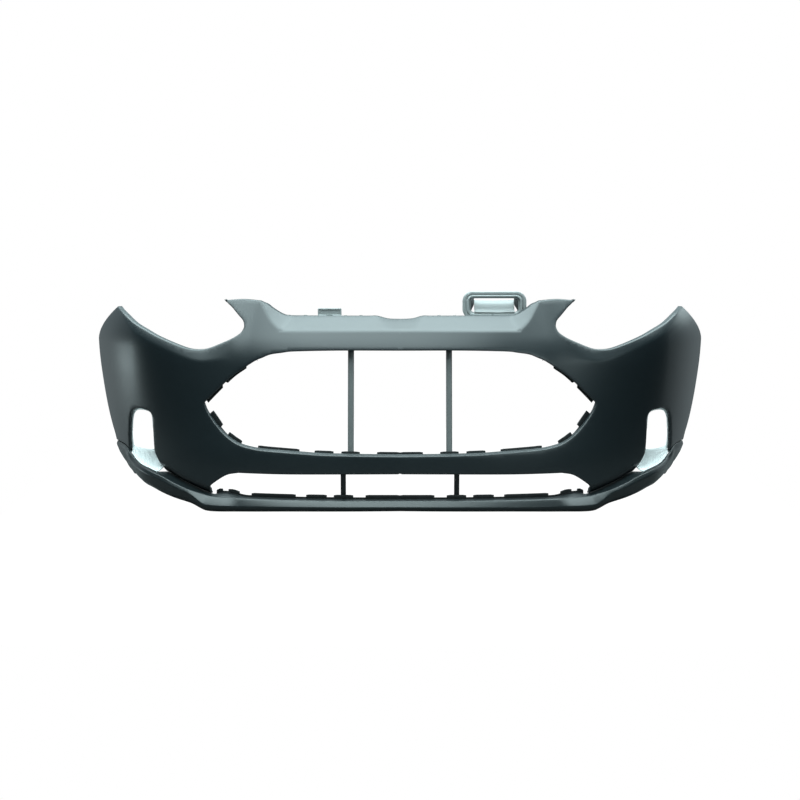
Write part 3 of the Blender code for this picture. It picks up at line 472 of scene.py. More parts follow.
def return_steps(s, z):
    """Steps of the return at a point of the skin's border: where it turns and where it ends."""
    inward = np.array([*plan(s)[2:], 0.0])
    if z > BAND_TOP_Z - 0.012 and s < 0.33:      # the fixing flange along the band's top
        return np.array([0, 0.004, -FLANGE_DROP]), np.array([0, TOP_FLANGE, -FLANGE_DROP])
    if 0.155 < z < 0.43 and s < 0.555:           # round the grille opening
        lift = 0.0035 * (1 - blend(0.27, 0.31, z))
        return np.array([0, 0.5 * MOUTH_RETURN, 0.5 * lift]), np.array([0, MOUTH_RETURN, lift])
    if z < 0.112 and s < 0.53:                   # round the lower opening
        return np.array([0, 0.5 * MOUTH_RETURN, 0]), np.array([0, MOUTH_RETURN, 0])
    if z < 0.27 and 0.69 < s < 0.875:            # round a fog opening
        return 0.5 * FOG_RETURN * inward, FOG_RETURN * inward
    return 0.5 * SIDE_RETURN * inward, SIDE_RETURN * inward


def rolled_edge(rim, inset, normal, radius):
    """Rows of points from an inset edge point round its rolled edge to the end of its return."""
    start = on_skin(*inset)
    reach = 0.002
    out = on_skin(inset[0] + normal[0] * reach, inset[1] + normal[1] * reach) - start
    out = out / np.linalg.norm(out)
    turn, end = return_steps(*rim)
    into = np.array([end[0], end[1], 0.0])
    into = into / np.linalg.norm(into)
    rows = [start + radius * (math.sin(a) * out + (1 - math.cos(a)) * into)
            for a in np.radians(EDGE_TURNS)]
    top = start + radius * out
    return [*rows, top + turn, top + end]


def make_skin(material):
    """The cover: one surface with a rolled edge and a return along every border, walled and mirrored."""
    rim = skin_outline()
    normal, radius = outward(rim), edge_radii(rim)
    inset = rim - normal * radius[:, None]
    flat, faces = triangulated(inset, (BAND_CREASE, SHOULDER_CREASE, CORNER_CREASE, SCOOP_CREASE))
    points = list(on_skin(flat[:, 0], flat[:, 1]))
    rim_tree = tree_of(inset)
    faces = [tuple(face) for face in faces]
    rows = len(EDGE_TURNS) + 2
    behind = {}
    for a, b in border_edges(np.array(faces)):
        if flat[a, 0] < 1e-6 and flat[b, 0] < 1e-6:
            continue
        for corner in (a, b):
            if corner not in behind:
                at = rim_tree.find((*flat[corner], 0))[1]
                behind[corner] = [corner, *range(len(points), len(points) + rows)]
                points += rolled_edge(rim[at], inset[at], normal[at], radius[at])
        here, next_ = behind[a], behind[b]
        for row in range(rows):
            faces.append((next_[row], here[row], here[row + 1], next_[row + 1]))
    skin = mesh_object("skin_surface", points, faces, material)
    return finished(skin, wall=WALL, mirrored=True, angle=50)


# ------------------------ the lower lip
def shelf_rise(s):
    """How far the back of the lip's shelf rises above its front, near the ends of the lower opening."""
    return 0.009 * blend(0.42, 0.48, s) * (1 - blend(0.50, 0.53, s))


def lip_section(s):
    """(set-back, z) corners of the lip's outer face, from the shelf's back to the floor's back."""
    top, foot, base = float(height(LIP_TOP, s)), float(height(LIP_FOOT, s)), float(lip_base(s))
    blade = float(blend(0.53, 0.59, s))
    shallow = float(blend(0.700, 0.712, s))
    at_fog = shallow * float(1 - blend(0.858, 0.869, s))
    tail = float(blend(0.845, 0.869, s))
    flare = float(blend(0.42, 0.47, s)) * (1 - blade)
    tall = top - foot
    shelf_back = 0.050 + 0.010 * blade - 0.038 * shallow - 0.8 * base * at_fog - 0.005 * tail
    brow = 0.012 + 0.009 * flare - 0.006 * blade - 0.003 * tail
    shelf_back = max(shelf_back, brow + 0.006)
    nose_z = foot + tall * (0.42 + 0.38 * blade)
    shoulder_z = top - 0.35 * (top - nose_z)
    chin = 0.004 + 0.016 * blade
    floor_back = 0.085 - 0.035 * float(blend(0.70, 0.80, s)) - 0.028 * tail
    section = [
        (shelf_back, top + float(shelf_rise(s))), (brow, top), (0.62 * brow, shoulder_z), (0.0, nose_z),
        (0.5 * chin, foot + 0.25 * tall), (chin + 0.004, foot), (floor_back, foot),
    ]
    return np.array([(base + setback, z) for setback, z in section])


def filleted(corners, reach, segments=4):
    """A polyline with each inner corner replaced by a quadratic curve that starts a reach before it."""
    line = [corners[0]]
    for a, b, c in zip(corners, corners[1:], corners[2:]):
        before, after = a - b, c - b
        near = min(reach, 0.45 * np.linalg.norm(before), 0.45 * np.linalg.norm(after))
        p = b + before * near / max(np.linalg.norm(before), 1e-9)
        q = b + after * near / max(np.linalg.norm(after), 1e-9)
        for t in np.linspace(0, 1, segments + 1):
            line.append((1 - t) ** 2 * p + 2 * t * (1 - t) * b + t * t * q)
    line.append(corners[-1])
    return np.array(line)


def swept(name, stations, section_at, material):
    """A surface through the (set-back, z) sections at each station."""
    points = []
    for s in stations:
        section = section_at(s)
        points += [place(s, setback, z) for setback, z in section]
    return mesh_object(name, points, quads(len(stations), len(section)), material)


def make_lip(material):
    stations = np.linspace(0, LIP_END, 150)
    lip = swept("lip_surface", stations, lambda s: filleted(lip_section(s), 0.0045), material)
    return finished(lip, wall=WALL, mirrored=True, angle=50)


# ------------------------ rails, struts and pockets
def castle(teeth, base, gap, tooth, end):
    """Outline of a half rail with teeth, as (s, distance above the rail's guide line)."""
    low = [(s, base) for s in np.linspace(end, 0, round(end / RAIL_STEP) + 1)]
    high = []
    at = 0.0
    for start, stop in teeth:
        if start > at:
            high += [(s, gap) for s in np.linspace(at, start, max(2, round((start - at) / RAIL_STEP)))]
        run = np.linspace(start, stop, max(3, round((stop - start) / RAIL_STEP)))
        ease = np.minimum(1, np.minimum(run - start, stop - run) / 0.002)
        high += [(s, tooth - 0.0012 * (1 - e)) for s, e in zip(run, ease)]
        at = stop
    if at < end:
        high += [(s, gap) for s in np.linspace(at, end, 3)]
    return low + high


def beside(line, outline):
    """(s, z) of outline points given as (s, distance square to the line, on its upper side)."""
    s, away = np.array(outline).T
    before = np.maximum(s - 0.004, 0)
    slope = (height(line, s + 0.004) - height(line, before)) / (s + 0.004 - before)
    size = np.hypot(1, slope)
    return np.stack([np.where(s > 0, s - away * slope / size, 0), height(line, s) + away / size], axis=-1)


def without_repeats(outline):
    keep = np.hypot(*(outline - np.roll(outline, 1, axis=0)).T) > 1e-6
    return outline[keep]


def make_sheet(name, outline, setback, material, wall, mirrored=False, step=0.007):
    """A walled sheet that fills the (s, z) outline at the set-back given for each point."""
    flat, faces = triangulated(without_repeats(outline), step=step)
    s, z = flat.T
    sheet = mesh_object(name, place(s, setback(s, z), z), faces, material)
    return finished(sheet, wall=wall, mirrored=mirrored, bevel=0.0005)


def make_grille_rail(material):
    outline = beside(GRILLE_FOOT, castle(GRILLE_TEETH, -0.020, -0.002, 0.0088, 0.538))
    behind = lambda s, z: skin_setback(s, height(GRILLE_FOOT, s)) + MOUTH_RETURN + 0.0025
    return make_sheet("grille_rail_fine", outline, behind, material, RAIL_WALL, mirrored=True)


def make_lower_rail(material):
    outline = beside(LIP_TOP, castle(LOWER_TEETH, 0.0004, 0.0045, 0.0110, 0.518))
    outline[:, 1] += 0.9 * shelf_rise(outline[:, 0])
    behind = lambda s, z: np.full(np.shape(s), 0.044)
    return make_sheet("lower_rail_fine", outline, behind, material, RAIL_WALL, mirrored=True)


def make_head_rail(name, material):
    line = smooth_run(GRILLE_HEAD[:6], 0.004)
    out = left_of(line)
    solid = np.array([not any(low < at < high for low, high in HEAD_RAIL_GAPS)
                      for at in run_length(line)])
    inner = line + out * np.where(solid, 0.0012, -0.005)[:, None]
    outline = np.vstack([inner, (line - out * 0.016)[::-1]])
    behind = lambda s, z: skin_setback(s, z) + MOUTH_RETURN / 0.9 + 0.002
    return make_sheet(name, outline, behind, material, RAIL_WALL)


def make_strut(name, x, low_z, high_z, behind, width, rib, material):
    """An upright bar: a crowned front strap with a rib behind it."""
    half, mid, edge, wall = width / 2, WALL / 2, 0.0024, WALL
    front = [(-half, edge), (-0.88 * half, 0.0012), (-0.5 * half, 0.0004), (0, 0),
             (0.5 * half, 0.0004), (0.88 * half, 0.0012), (half, edge)]
    back = [(half, edge + wall), (mid + 0.001, edge + wall), (mid, 0.0034 + wall), (mid, rib),
            (-mid, rib), (-mid, 0.0034 + wall), (-mid - 0.001, edge + wall), (-half, edge + wall)]
    start = on_skin(s_at_x(x, low_z), low_z, behind[0])
    stop = on_skin(s_at_x(x, high_z), high_z, behind[1])
    rows = []
    for t in np.linspace(0, 1, 13):
        y = start[1] + t * (stop[1] - start[1])
        rows.append([(x + dx, y + dy, low_z + t * (high_z - low_z)) for dx, dy in front + back])
    strut = mesh_object(name, np.vstack(rows), solid_rows(rows), material)
    return finished(outwards(strut), bevel=0.0004)


def rounded_ring(points, parts):
    """A closed Catmull-Rom curve through the points, each span cut into that many parts."""
    turned_by = [np.roll(points, turn, axis=0) for turn in (1, 0, -1, -2)]
    rows = [catmull_rom(*turned_by, t) for t in np.linspace(0, 1, parts, endpoint=False)]
    return np.stack(rows, axis=1).reshape(-1, 3)


def closed_rows(rows):
    """Quads between rows of as many points, each row a closed ring."""
    count = len(rows[0])
    faces = []
    for row in range(len(rows) - 1):
        for k in range(count):
            a, b = row * count + k, row * count + (k + 1) % count
            faces.append((a, b, b + count, a + count))
    return faces


def make_pocket(name, material):
    """The fog lamp pocket: walls from the opening and the lip's shelf to a rear frame; a ribbed floor."""
    sides, shelf = np.array(POCKET_SIDES), np.array(POCKET_SHELF)
    wall_front = on_skin(sides[:, 0], sides[:, 1], FOG_RETURN + 0.004)
    shelf_back = np.array([lip_section(s)[0][0] for s in shelf])
    floor_front = place(shelf, shelf_back + GAP, height(LIP_TOP, shelf) - 0.0008)
    parts = 8
    front = rounded_ring(np.vstack([wall_front, floor_front]), parts)
    frame_ring = rounded_ring(np.array([(x, NOSE_Y + FOG_PLANE_Y, z) for x, z in POCKET_FRAME]), parts)
    span = np.arange(len(front)) / parts
    on_floor = blend(13.2, 13.6, span) * (1 - blend(16.6, 17.0, span))
    ribs = on_floor * np.maximum(0, np.sin(2 * math.pi * span * 2.5)) ** 2
    rows = []
    for share in np.linspace(0, 1, 15):
        row = front + (frame_ring - front) * share
        row[:, 2] += FLOOR_RIB * ribs * blend(0.0, 0.15, share) * (1 - blend(0.85, 1.0, share))
        rows.append(row)
    rear = frame_ring + np.array([0, 0.010, 0])
    corner = rear + np.array([0, -0.0012, 0])
    outer = rear + (rear - rear.mean(axis=0)) * np.array([0.22, 0, 0.14])
    rows += [frame_ring + (rear - frame_ring) * 0.5, corner, rear + (outer - rear) * 0.06, outer]
    pocket = mesh_object(name, np.vstack(rows), closed_rows(rows), material)
    return finished(pocket, wall=0.0024, angle=60)


# ------------------------ duct, tab, brackets and fasteners
def rounded_box(width, tall, radius, segments=8):
    """(x, z) points of a rectangle with round corners, anticlockwise, centred on the origin."""
    points = []
    for turn, (sx, sz) in enumerate(((1, 1), (-1, 1), (-1, -1), (1, -1))):
        centre = (sx * (width / 2 - radius), sz * (tall / 2 - radius))
        for k in range(segments + 1):
            angle = math.pi / 2 * (turn + k / segments)
            points.append((centre[0] + radius * math.cos(angle), centre[1] + radius * math.sin(angle)))
    return np.array(points)


def solid_rows(rows, closed=False):
    """Quads between rings of points; the last row joins the first, or both ends are capped."""
    count, faces = len(rows[0]), closed_rows(rows)
    last = (len(rows) - 1) * count
    if closed:
        faces += [(last + k, last + (k + 1) % count, (k + 1) % count, k) for k in range(count)]
    else:
        faces += [tuple(range(count))[::-1], tuple(range(last, last + count))]
    return faces


def outwards(thing):
    """Turns every face of a closed mesh to the outside."""
    shape = bmesh.new()
    shape.from_mesh(thing.data)
    bmesh.ops.recalc_face_normals(shape, faces=shape.faces)
    shape.to_mesh(thing.data)
    shape.free()
    return thing


def ring_at(flat, centre, axis):
    """World points of a flat figure about a centre, square to that axis."""
    return np.insert(flat, axis, 0.0, axis=1) + np.array(centre)


def between_rims(name, outer, inner, section, centre, material):
    """A frame with its section, as (share, y), from the outer to the inner (x, z) rim all round."""
    rows = [ring_at(outer + (inner - outer) * share, (centre[0], centre[1] + y, centre[2]), 1)
            for share, y in section]
    return outwards(mesh_object(name, np.vstack(rows), solid_rows(rows, closed=True), material))


def plate(name, low, high, radius, material, bevel=0.0005):
    """A flat plate with round corners in plan, from its lowest to its highest corner."""
    low, high = np.array(low), np.array(high)
    rim = rounded_box(high[0] - low[0], high[1] - low[1], radius, 5)
    middle = (low + high) / 2
    rows = [ring_at(rim, (middle[0], middle[1], z), 2) for z in (low[2], high[2])]
    thing = mesh_object(name, np.vstack(rows), solid_rows(rows), material)
    return finished(outwards(thing), bevel=bevel, angle=35)


def make_duct(material):
    """The loop round the duct's mouth: an outer flange, a groove and a raised collar; and its foot."""
    low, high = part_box("duct_bezel")
    centre = ((low.x + high.x) / 2, high.y - DUCT_DEPTH, high.z - DUCT_TALL / 2)
    wide = high.x - low.x
    outer = rounded_box(wide, DUCT_TALL, 0.026)
    inner = rounded_box(wide - 0.044, DUCT_TALL - 0.036, 0.010)
    section = [
        (0.0, DUCT_DEPTH), (0.0, 0.0066), (0.02, 0.0052), (0.06, 0.0046), (0.30, 0.0040),
        (0.36, 0.0044), (0.40, 0.0056), (0.46, 0.0058), (0.50, 0.0044), (0.54, 0.0010), (0.58, 0.0),
        (0.72, 0.0), (0.77, 0.0012), (0.80, 0.0050), (0.84, 0.0070), (0.94, 0.0084), (1.0, 0.0110),
        (1.0, DUCT_DEPTH),
    ]
    ring = between_rims("duct_loop_fine", outer, inner, section, centre, material)
    foot = plate("duct_foot_fine", (low.x + 0.0095, low.y, low.z),
                 (0.262, centre[1] + 0.007, low.z + 0.0025), 0.005, material)
    return finished(ring, angle=30), foot


def make_duct_floor(material):
    """The duct's sloping floor: a shallow hollow with a rolled upper edge."""
    low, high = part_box("duct_floor")
    line = [(low.y, low.z + 0.0008), (low.y + 0.004, low.z + 0.0030), (low.y + 0.014, low.z + 0.0085),
            (high.y - 0.012, high.z - 0.0100), (high.y - 0.004, high.z - 0.0036),
            (high.y - 0.0012, high.z - 0.0006), (high.y, high.z - 0.0004)]
    profile = smooth_run(line, 0.0015)
    across = np.linspace(low.x, high.x, 41)
    dip = 0.0012 * np.cos(math.pi * (across - across.mean()) / (across[-1] - across[0]))
    points = [(x, y, z - sag) for x, sag in zip(across, dip) for y, z in profile]
    faces = [(a, d, c, b) for a, b, c, d in quads(len(across), len(profile))]
    panel = mesh_object("duct_floor_fine", points, faces, material)
    return finished(panel, wall=0.0022, bevel=0.0004, angle=40)


def make_duct_cheek(name, side, material):
    """A side wall of the duct behind its mouth, drawn in from the loop to the floor's edge."""
    low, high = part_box("duct_floor")
    edge = low.x if side < 0 else high.x
    rows = []
    for share in np.linspace(0, 1, 7):
        x = edge + side * (0.0100 - 0.0085 * blend(0, 1, share))
        y = low.y + 0.0085 + share * (high.y - low.y - 0.0105)
        rows.append([(x, y, low.z + 0.001 + share * 0.020), (x, y, low.z + 0.015 + share * 0.010),
                     (x, y, high.z + 0.0042)])
    wall = mesh_object(name, np.vstack(rows), quads(len(rows), 3), material)
    if side > 0:
        wall.data.flip_normals()
    return finished(wall, wall=0.0015, bevel=0.0003)


def make_tab(material):
    """The locating tab: an upright plate with a raised rim, and its foot."""
    low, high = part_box("locating_tab")
    wide, tall = high.x - low.x, high.z - low.z
    outer, inner = rounded_box(wide, tall, 0.0025, 5), rounded_box(wide - 0.008, tall - 0.008, 0.0015, 5)
    centre = ((low.x + high.x) / 2, high.y - 0.0055, (low.z + high.z) / 2)
    section = [(0.0, 0.005), (0.0, 0.0008), (0.15, 0.0), (0.80, 0.0), (1.0, 0.0008), (1.0, 0.0022),
               (1.0, 0.005)]
    rim = finished(between_rims("tab_rim_fine", outer, inner, section, centre, material), angle=30)
    rows = [ring_at(0.999 * inner, (centre[0], centre[1] + y, centre[2]), 1) for y in (0.0020, 0.0048)]
    web = outwards(mesh_object("tab_web_fine", np.vstack(rows), solid_rows(rows), material))
    foot = plate("tab_foot_fine", (low.x, low.y, low.z), (high.x, high.y - 0.0006, low.z + 0.0025),
                 0.004, material)
    return rim, finished(web, angle=30), foot


def turned(name, profile, where, material, sides=40):
    """A turned piece from (radius, height) points: end to end, or a closed loop round a bore."""
    angle = np.linspace(0, 2 * math.pi, sides, endpoint=False)
    circle = np.stack([np.cos(angle), np.sin(angle)], axis=-1)
    rows = [ring_at(r * circle, (where[0], where[1], where[2] + h), 2) for r, h in profile]
    bored = profile[0] == profile[-1]
    rows = rows[:-1] if bored else rows
    thing = mesh_object(name, np.vstack(rows), solid_rows(rows, closed=bored), material)
    return finished(outwards(thing), angle=35)


def make_rivet(number, material):
    """A push rivet's body: a dished collar on a tapered shank; and its pin with a crossed slot."""
    low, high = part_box(f"push_rivet_{number}")
    where = ((low.x + high.x) / 2, (low.y + high.y) / 2, high.z - 0.0020)
    body = turned(f"rivet_body_fine_{number}", [
        (0.0022, 0.0016), (0.0026, 0.0020), (0.0048, 0.0020), (0.0056, 0.0016), (0.0074, 0.0016),
        (0.0084, 0.0012), (0.0088, 0.0007), (0.0087, 0.0004), (0.0038, 0.0004), (0.0035, 0.0),
        (0.0035, -0.0050), (0.0036, -0.0080), (0.0034, -0.0115), (0.0029, -0.0140), (0.0022, -0.0140),
        (0.0022, 0.0016)], where, material)
    pin = turned(f"rivet_pin_fine_{number}", [
        (0.0002, 0.0034), (0.0028, 0.0034), (0.0038, 0.0031), (0.0044, 0.0026), (0.0044, 0.0024),
        (0.0018, 0.0023), (0.0018, -0.0125), (0.0008, -0.0138), (0.0002, -0.0140)], where, material)
    slots = []
    for turn, (dx, dy) in enumerate(((0.0024, 0.0004), (0.0004, 0.0024))):
        low = (where[0] - dx, where[1] - dy, where[2] + 0.0027)
        high = (where[0] + dx, where[1] + dy, where[2] + 0.0040)
        slots.append(plate(f"slot_{number}_{turn}", low, high, 0.0003, material, bevel=0.0))
    return body, carved(pin, slots)


def carved(thing, cutters):
    """Cuts the cutters out of the thing and removes them."""
    for cutter in cutters:
        modifier = thing.modifiers.new("Cut", "BOOLEAN")
        modifier.operation = "DIFFERENCE"
        modifier.solver = "EXACT"
        modifier.object = cutter
    finished(thing, angle=35)
    for cutter in cutters:
        bpy.data.objects.remove(cutter)
    return thing


def make_nut(name, node, material):
    """A folded spring nut: two leaves with flared ends, a round bend, and a raised thread collar."""
    low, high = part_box(node)
    middle, top, bottom = (low.x + high.x) / 2, high.z, low.z
    line = np.array([(low.y, top - 0.0002), (low.y + 0.003, top - 0.0011),
                     (high.y - 0.0004, top - 0.0011), (high.y - 0.0004, bottom + 0.0012),
                     (low.y + 0.004, bottom + 0.0012), (low.y + 0.001, bottom)])
    profile = filleted(line, 0.0022, 5)
    across = np.linspace(low.x, high.x, 5)
    points = [(x, y, z) for x in across for y, z in profile]
    strip = mesh_object(name, points, quads(len(across), len(profile)), material)
    strip = finished(strip, wall=0.0009, bevel=0.0002)
    collar = turned(name + "_collar", [
        (0.0022, 0.0002), (0.0022, 0.0022), (0.0026, 0.0025), (0.0034, 0.0022), (0.0042, 0.0004),
        (0.0042, 0.0002), (0.0022, 0.0002)], (middle, (low.y + high.y) / 2, top - 0.0012), material,
        sides=28)
    return strip, collar


def make_wing_bracket(name, material):
    """The side retainer behind the wing's joint with the fender: round hooks and a folded edge."""
    line = smooth_run([(0.955, 0.500), (1.005, 0.470), (1.060, 0.438), (1.086, 0.424)], 0.0022)
    out = left_of(line)
    phase = 0.5 - 0.5 * np.cos(2 * math.pi * np.arange(len(line)) / 20)
    depth = (0.020 + 0.010 * blend(0.30, 0.55, phase))[:, None]
    outline = np.vstack([line - out * 0.004, (line - out * depth)[::-1]])
    ridge = tree_of(line - out * 0.009)
    behind = lambda s, z: skin_setback(s, z) + WALL + 0.0032 + np.array(
        [0.0018 * math.exp(-(ridge.find((a, b, 0))[2] / 0.0022) ** 2) for a, b in zip(s, z)])
    return make_sheet(name, outline, behind, material, BRACKET_WALL, step=0.0028)


def make_headlamp_bracket(name, material):
    """The bracket behind the headlamp cut-out: a plate with round corners and ribs."""
    corners = [(0.560, 0.320), (0.640, 0.330), (0.662, 0.372), (0.640, 0.388), (0.560, 0.380),
               (0.545, 0.350)]
    closed = np.array([corners[-1], *corners, corners[0]])
    outline = filleted(closed, 0.008, 5)[6:-6]
    ribs = lambda s, z: 0.0016 * np.maximum(0, np.cos(2 * math.pi * (s - 0.600) / 0.028)) ** 8
    behind = lambda s, z: skin_setback(s, z) + WALL + 0.0034 + ribs(s, z)
    return make_sheet(name, outline, behind, material, BRACKET_WALL, step=0.0035)


# ------------------------ finishes
def feed(tree, node, inputs):
    """Gives each named input of a shader node its value, or a link from the socket that feeds it."""
    for socket, value in inputs.items():
        if isinstance(value, bpy.types.NodeSocket):
            tree.links.new(value, node.inputs[socket])
        else:
            node.inputs[socket].default_value = value
    return node


def added(tree, kind, inputs=(), **properties):
    """A new shader node with its properties set and its inputs fed."""
    node = tree.nodes.new("ShaderNode" + kind)
    for name, value in properties.items():
        setattr(node, name, value)
    return feed(tree, node, dict(inputs))


def new_material(name):
    material = bpy.data.materials.new(name)
    material.use_nodes = True
    return material, material.node_tree, material.node_tree.nodes["Principled BSDF"]


def noise(tree, scale, detail, roughness):
    inputs = {"Scale": scale, "Detail": detail, "Roughness": roughness,
              "Vector": added(tree, "TexCoord").outputs["Object"]}
    return added(tree, "TexNoise", inputs).outputs["Fac"]


def mixed(tree, share, first, second, **properties):
    """A colour between two, by a share."""
    inputs = {"Factor": share, "A": first, "B": second}
    return added(tree, "Mix", inputs, data_type="RGBA", **properties).outputs["Result"]


def ranged(tree, value, low, high, start=0.0):
    """A value between start and 1 brought between low and high."""
    inputs = {"Value": value, "From Min": start, "To Min": low, "To Max": high}
    return added(tree, "MapRange", inputs).outputs["Result"]


def satin(name, colour, roughness, peel=0.5, mottle=0.25, grain=0.0, dust=0.0):
    """A satin moulded or primed plastic: colour mottling, fine peel or grain, dust on upper faces."""
    material, tree, shader = new_material(name)
    cloud, speck = noise(tree, 5.0, 6.0, 0.6), noise(tree, 420.0, 3.0, 0.5)
    dark, light = [(*[c * (1 + way * mottle) for c in colour], 1) for way in (-1, 1)]
    shade = mixed(tree, 0.35, mixed(tree, cloud, dark, light), speck, blend_type="MULTIPLY")
    if dust:
        shade = dusted(tree, shade, cloud, dust)
    soft = noise(tree, 130.0, 2.0, 0.4)
    bumps = added(tree, "Bump", {"Strength": peel, "Distance": 0.00012, "Height": soft})
    fine = added(tree, "Bump", {"Strength": max(grain, 0.08), "Distance": 0.0001, "Height": speck,
                                "Normal": bumps.outputs["Normal"]})
    feed(tree, shader, {"Base Color": shade, "Normal": fine.outputs["Normal"],
                        "Roughness": ranged(tree, cloud, roughness - 0.05, roughness + 0.06)})
    return material


def dusted(tree, shade, cloud, amount):
    """A shade with a little pale dust over it where the surface faces up."""
    normal = added(tree, "NewGeometry").outputs["Normal"]
    upward = added(tree, "SeparateXYZ", {"Vector": normal}).outputs["Z"]
    facing = ranged(tree, upward, 0.0, amount, start=0.55)
    share = added(tree, "Math", {0: facing, 1: cloud}, operation="MULTIPLY").outputs["Value"]
    return mixed(tree, share, shade, (0.42, 0.45, 0.45, 1))


def spring_steel():
    material, tree, shader = new_material("phosphated_spring_steel")
    cloud = noise(tree, 180.0, 5.0, 0.6)
    shade = mixed(tree, cloud, (0.22, 0.22, 0.21, 1), (0.40, 0.40, 0.38, 1))
    feed(tree, shader, {"Metallic": 1.0, "Base Color": shade,
                        "Roughness": ranged(tree, cloud, 0.28, 0.50)})
    return material


# ------------------------ studio
PALE = (0.80, 0.98, 1.0)
# brightness of the surround, by how far behind the object it lies
SURROUND = [(0.20, 0.02), (0.50, 0.66), (0.75, 0.60), (0.93, 0.32)]
CAMERA_AIM_Z = 0.307
CAMERA_DISTANCE = 5.0
CAMERA_ELEVATION = math.radians(6)
CAMERA_ANGLE = math.radians(23.54)
FLOOR_HALF = (1.05, 1.7)            # half the floor's width and depth
FLOOR_Z = -0.002
FLOOR_GLOW = 1.15                   # brightness of the floor as the camera sees it
FLOOR_GLOW_SHARE = 0.90             # share of that glow; the rest is the floor's own shading


def area_light(name, where, aim, size, power):
    light = bpy.data.lights.new(name, "AREA")
    light.shape = "RECTANGLE"
    light.size, light.size_y = size
    light.energy = power
    light.color = PALE
    thing = bpy.data.objects.new(name, light)
    thing.location = where
    thing.rotation_euler = (Vector(aim) - Vector(where)).to_track_quat("-Z", "Y").to_euler()
    bpy.context.scene.collection.objects.link(thing)


def show_by_ray(tree, share, unseen, seen, output):
    """Shows one shader to the camera, by a share, and the other to every other ray."""
    mix = added(tree, "MixShader", {"Fac": share, 1: unseen, 2: seen})
    feed(tree, tree.nodes[output], {"Surface": mix.outputs["Shader"]})


def make_world():
    """White to the camera; for reflections, a dim surround that is brighter behind the object."""
    world = bpy.data.worlds.new("studio")
    bpy.context.scene.world = world
    world.use_nodes = True
    tree = world.node_tree
    white = feed(tree, tree.nodes["Background"], {"Color": (1, 1, 1, 1)})
    direction = added(tree, "TexCoord").outputs["Generated"]
    behind = added(tree, "SeparateXYZ", {"Vector": direction}).outputs["Y"]
    sweep = added(tree, "ValToRGB", {"Fac": behind})
    stops = sweep.color_ramp.elements
    while len(stops) < len(SURROUND):
        stops.new(0.5)
    for stop, (position, level) in zip(stops, SURROUND):
        stop.position = position
        stop.color = (level, level, level, 1)
    dim = added(tree, "Background", {"Color": (0.82, 0.96, 1.0, 1), "Strength": sweep.outputs["Color"]})
    ray = added(tree, "LightPath").outputs["Is Camera Ray"]
    show_by_ray(tree, ray, dim.outputs["Background"], white.outputs["Background"], "World Output")


def make_camera():
    aim = Vector((0, NOSE_Y, CAMERA_AIM_Z))
    away = Vector((0, -math.cos(CAMERA_ELEVATION), math.sin(CAMERA_ELEVATION)))
    camera = bpy.data.cameras.new("camera")
    camera.angle = CAMERA_ANGLE
    thing = bpy.data.objects.new("camera", camera)
    thing.location = aim + CAMERA_DISTANCE * away
    thing.rotation_euler = (aim - thing.location).to_track_quat("-Z", "Y").to_euler()
    bpy.context.scene.collection.objects.link(thing)
    bpy.context.scene.camera = thing


def make_floor():
    """A floor that is nearly white to the camera and dim in reflections."""
    mesh = bpy.data.meshes.new("floor")
    wide, deep = FLOOR_HALF
    corners = [(-wide, -deep, 0), (wide, -deep, 0), (wide, deep, 0), (-wide, deep, 0)]
    mesh.from_pydata(corners, [], [(0, 1, 2, 3)])
    floor = bpy.data.objects.new("floor", mesh)
    floor.location.z = FLOOR_Z
    bpy.context.scene.collection.objects.link(floor)
    material, tree, shader = new_material("pale_floor")
    feed(tree, shader, {"Base Color": (0.10, 0.105, 0.105, 1), "Roughness": 0.9})
    glow = added(tree, "Emission", {"Strength": FLOOR_GLOW}).outputs["Emission"]
    ray = added(tree, "LightPath").outputs["Is Camera Ray"]
    share = added(tree, "Math", {0: ray, 1: FLOOR_GLOW_SHARE}, operation="MULTIPLY").outputs["Value"]
    show_by_ray(tree, share, shader.outputs["BSDF"], glow, "Material Output")
    mesh.materials.append(material)


# ------------------------ making
bpy.context.scene.view_settings.view_transform = "Standard"
make_world()
make_camera()
make_floor()
area_light("overhead_softbox", (0.10, 0.25, 2.4), (0.1, 0.2, 0.4), (4.8, 2.2), 262)
area_light("front_top_softbox", (-0.50, -1.7, 2.7), (0, -0.1, 0.4), (2.4, 1.4), 84)
area_light("left_low_softbox", (-2.4, 0.5, 0.1), (-0.8, 0, 0.15), (0.7, 0.3), 4)
area_light("right_front_softbox", (1.1, -1.9, 1.0), (0.68, 0, 0.12), (0.4, 0.4), 6)
area_light("right_high_softbox", (1.9, 1.1, 1.0), (0.8, 0, 0.4), (0.7, 0.5), 4)

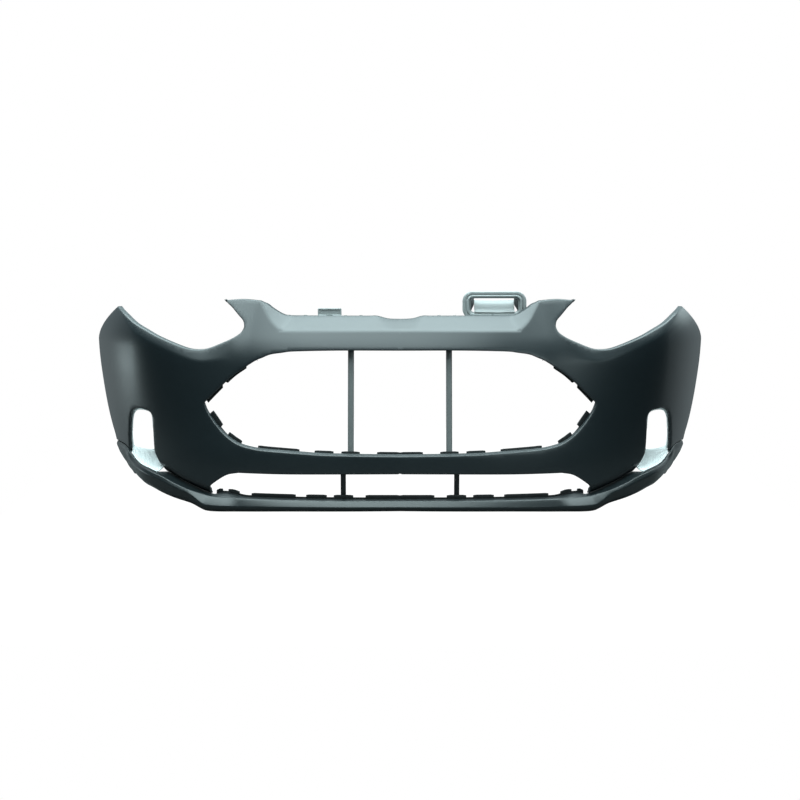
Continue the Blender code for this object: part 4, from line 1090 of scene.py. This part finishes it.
skin_finish = satin("satin_primer_fine", (0.010, 0.016, 0.019), 0.36, peel=0.35, mottle=0.18, dust=0.12)
lip_finish = satin("lip_primer_fine", (0.009, 0.014, 0.016), 0.34, peel=0.4, mottle=0.2)
grained = satin("grained_black_plastic", (0.014, 0.017, 0.018), 0.5, peel=0.5, grain=0.6)
# fog pockets: a pale plastic whose near-white colour is partly painted light, raised to stand in for the
# bright light the pockets catch
pocket_finish_painted_light = satin("pale_pocket_plastic_painted_light", (0.88, 0.92, 0.92), 0.42, peel=0.3, mottle=0.12)
duct_finish = satin("duct_plastic", (0.30, 0.32, 0.32), 0.40, peel=0.3)
nylon = satin("nylon_fastener", (0.10, 0.115, 0.115), 0.42, peel=0.2)
strut_finish = satin("strut_plastic", (0.145, 0.155, 0.155), 0.45, peel=0.3)
steel = spring_steel()

settle(make_skin(skin_finish), "bumper_skin")
settle(make_lip(lip_finish), "lower_lip")
settle(make_grille_rail(grained), "grille_clip_rail_lower")
settle(make_lower_rail(grained), "lower_clip_rail")
settle_pair(make_head_rail("head_rail_fine_right", grained), "head_rail_fine_left",
            "grille_clip_rail")
for side, sign in SIDES:
    upper = make_strut(f"grille_strut_fine_{side}", sign * GRILLE_STRUT_X, low_z=0.146, high_z=0.440,
                       behind=(0.026, 0.024), width=0.016, rib=0.013, material=strut_finish)
    settle(upper, f"grille_strut_{side}")
    lower = make_strut(f"lower_strut_fine_{side}", sign * LOWER_STRUT_X, low_z=0.0405, high_z=0.116,
                       behind=(0.034, 0.024), width=0.014, rib=0.011, material=grained)
    settle(lower, f"lower_strut_{side}")
settle_pair(make_pocket("fog_pocket_fine_right", pocket_finish_painted_light), "fog_pocket_fine_left",
            "fog_pocket")

duct_loop, duct_foot = make_duct(duct_finish)
for piece in (duct_loop, duct_foot):
    settle(piece, "duct_bezel")
settle(make_duct_floor(duct_finish), "duct_floor")
for side, sign in SIDES:
    settle(make_duct_cheek(f"duct_cheek_fine_{side}", sign, grained), "duct_floor")
for piece in make_tab(duct_finish):
    settle(piece, "locating_tab")
settle_pair(make_wing_bracket("wing_bracket_fine_right", grained), "wing_bracket_fine_left",
            "wing_bracket")
settle_pair(make_headlamp_bracket("headlamp_bracket_fine_right", grained), "headlamp_bracket_fine_left",
            "headlamp_bracket")
for number in range(1, RIVETS + 1):
    body, pin = make_rivet(number, nylon)
    settle(body, f"push_rivet_{number}")
    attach(pin, f"rivet_pin_{number}")
    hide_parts(f"push_rivet_pin_{number}")
undertray_nuts = [f"undertray_nut_{number}" for number in range(1, UNDERTRAY_NUTS + 1)]
for node in ["flange_nut_1", "flange_nut_2", *undertray_nuts]:
    for piece in make_nut(node + "_fine", node, steel):
        settle(piece, node)
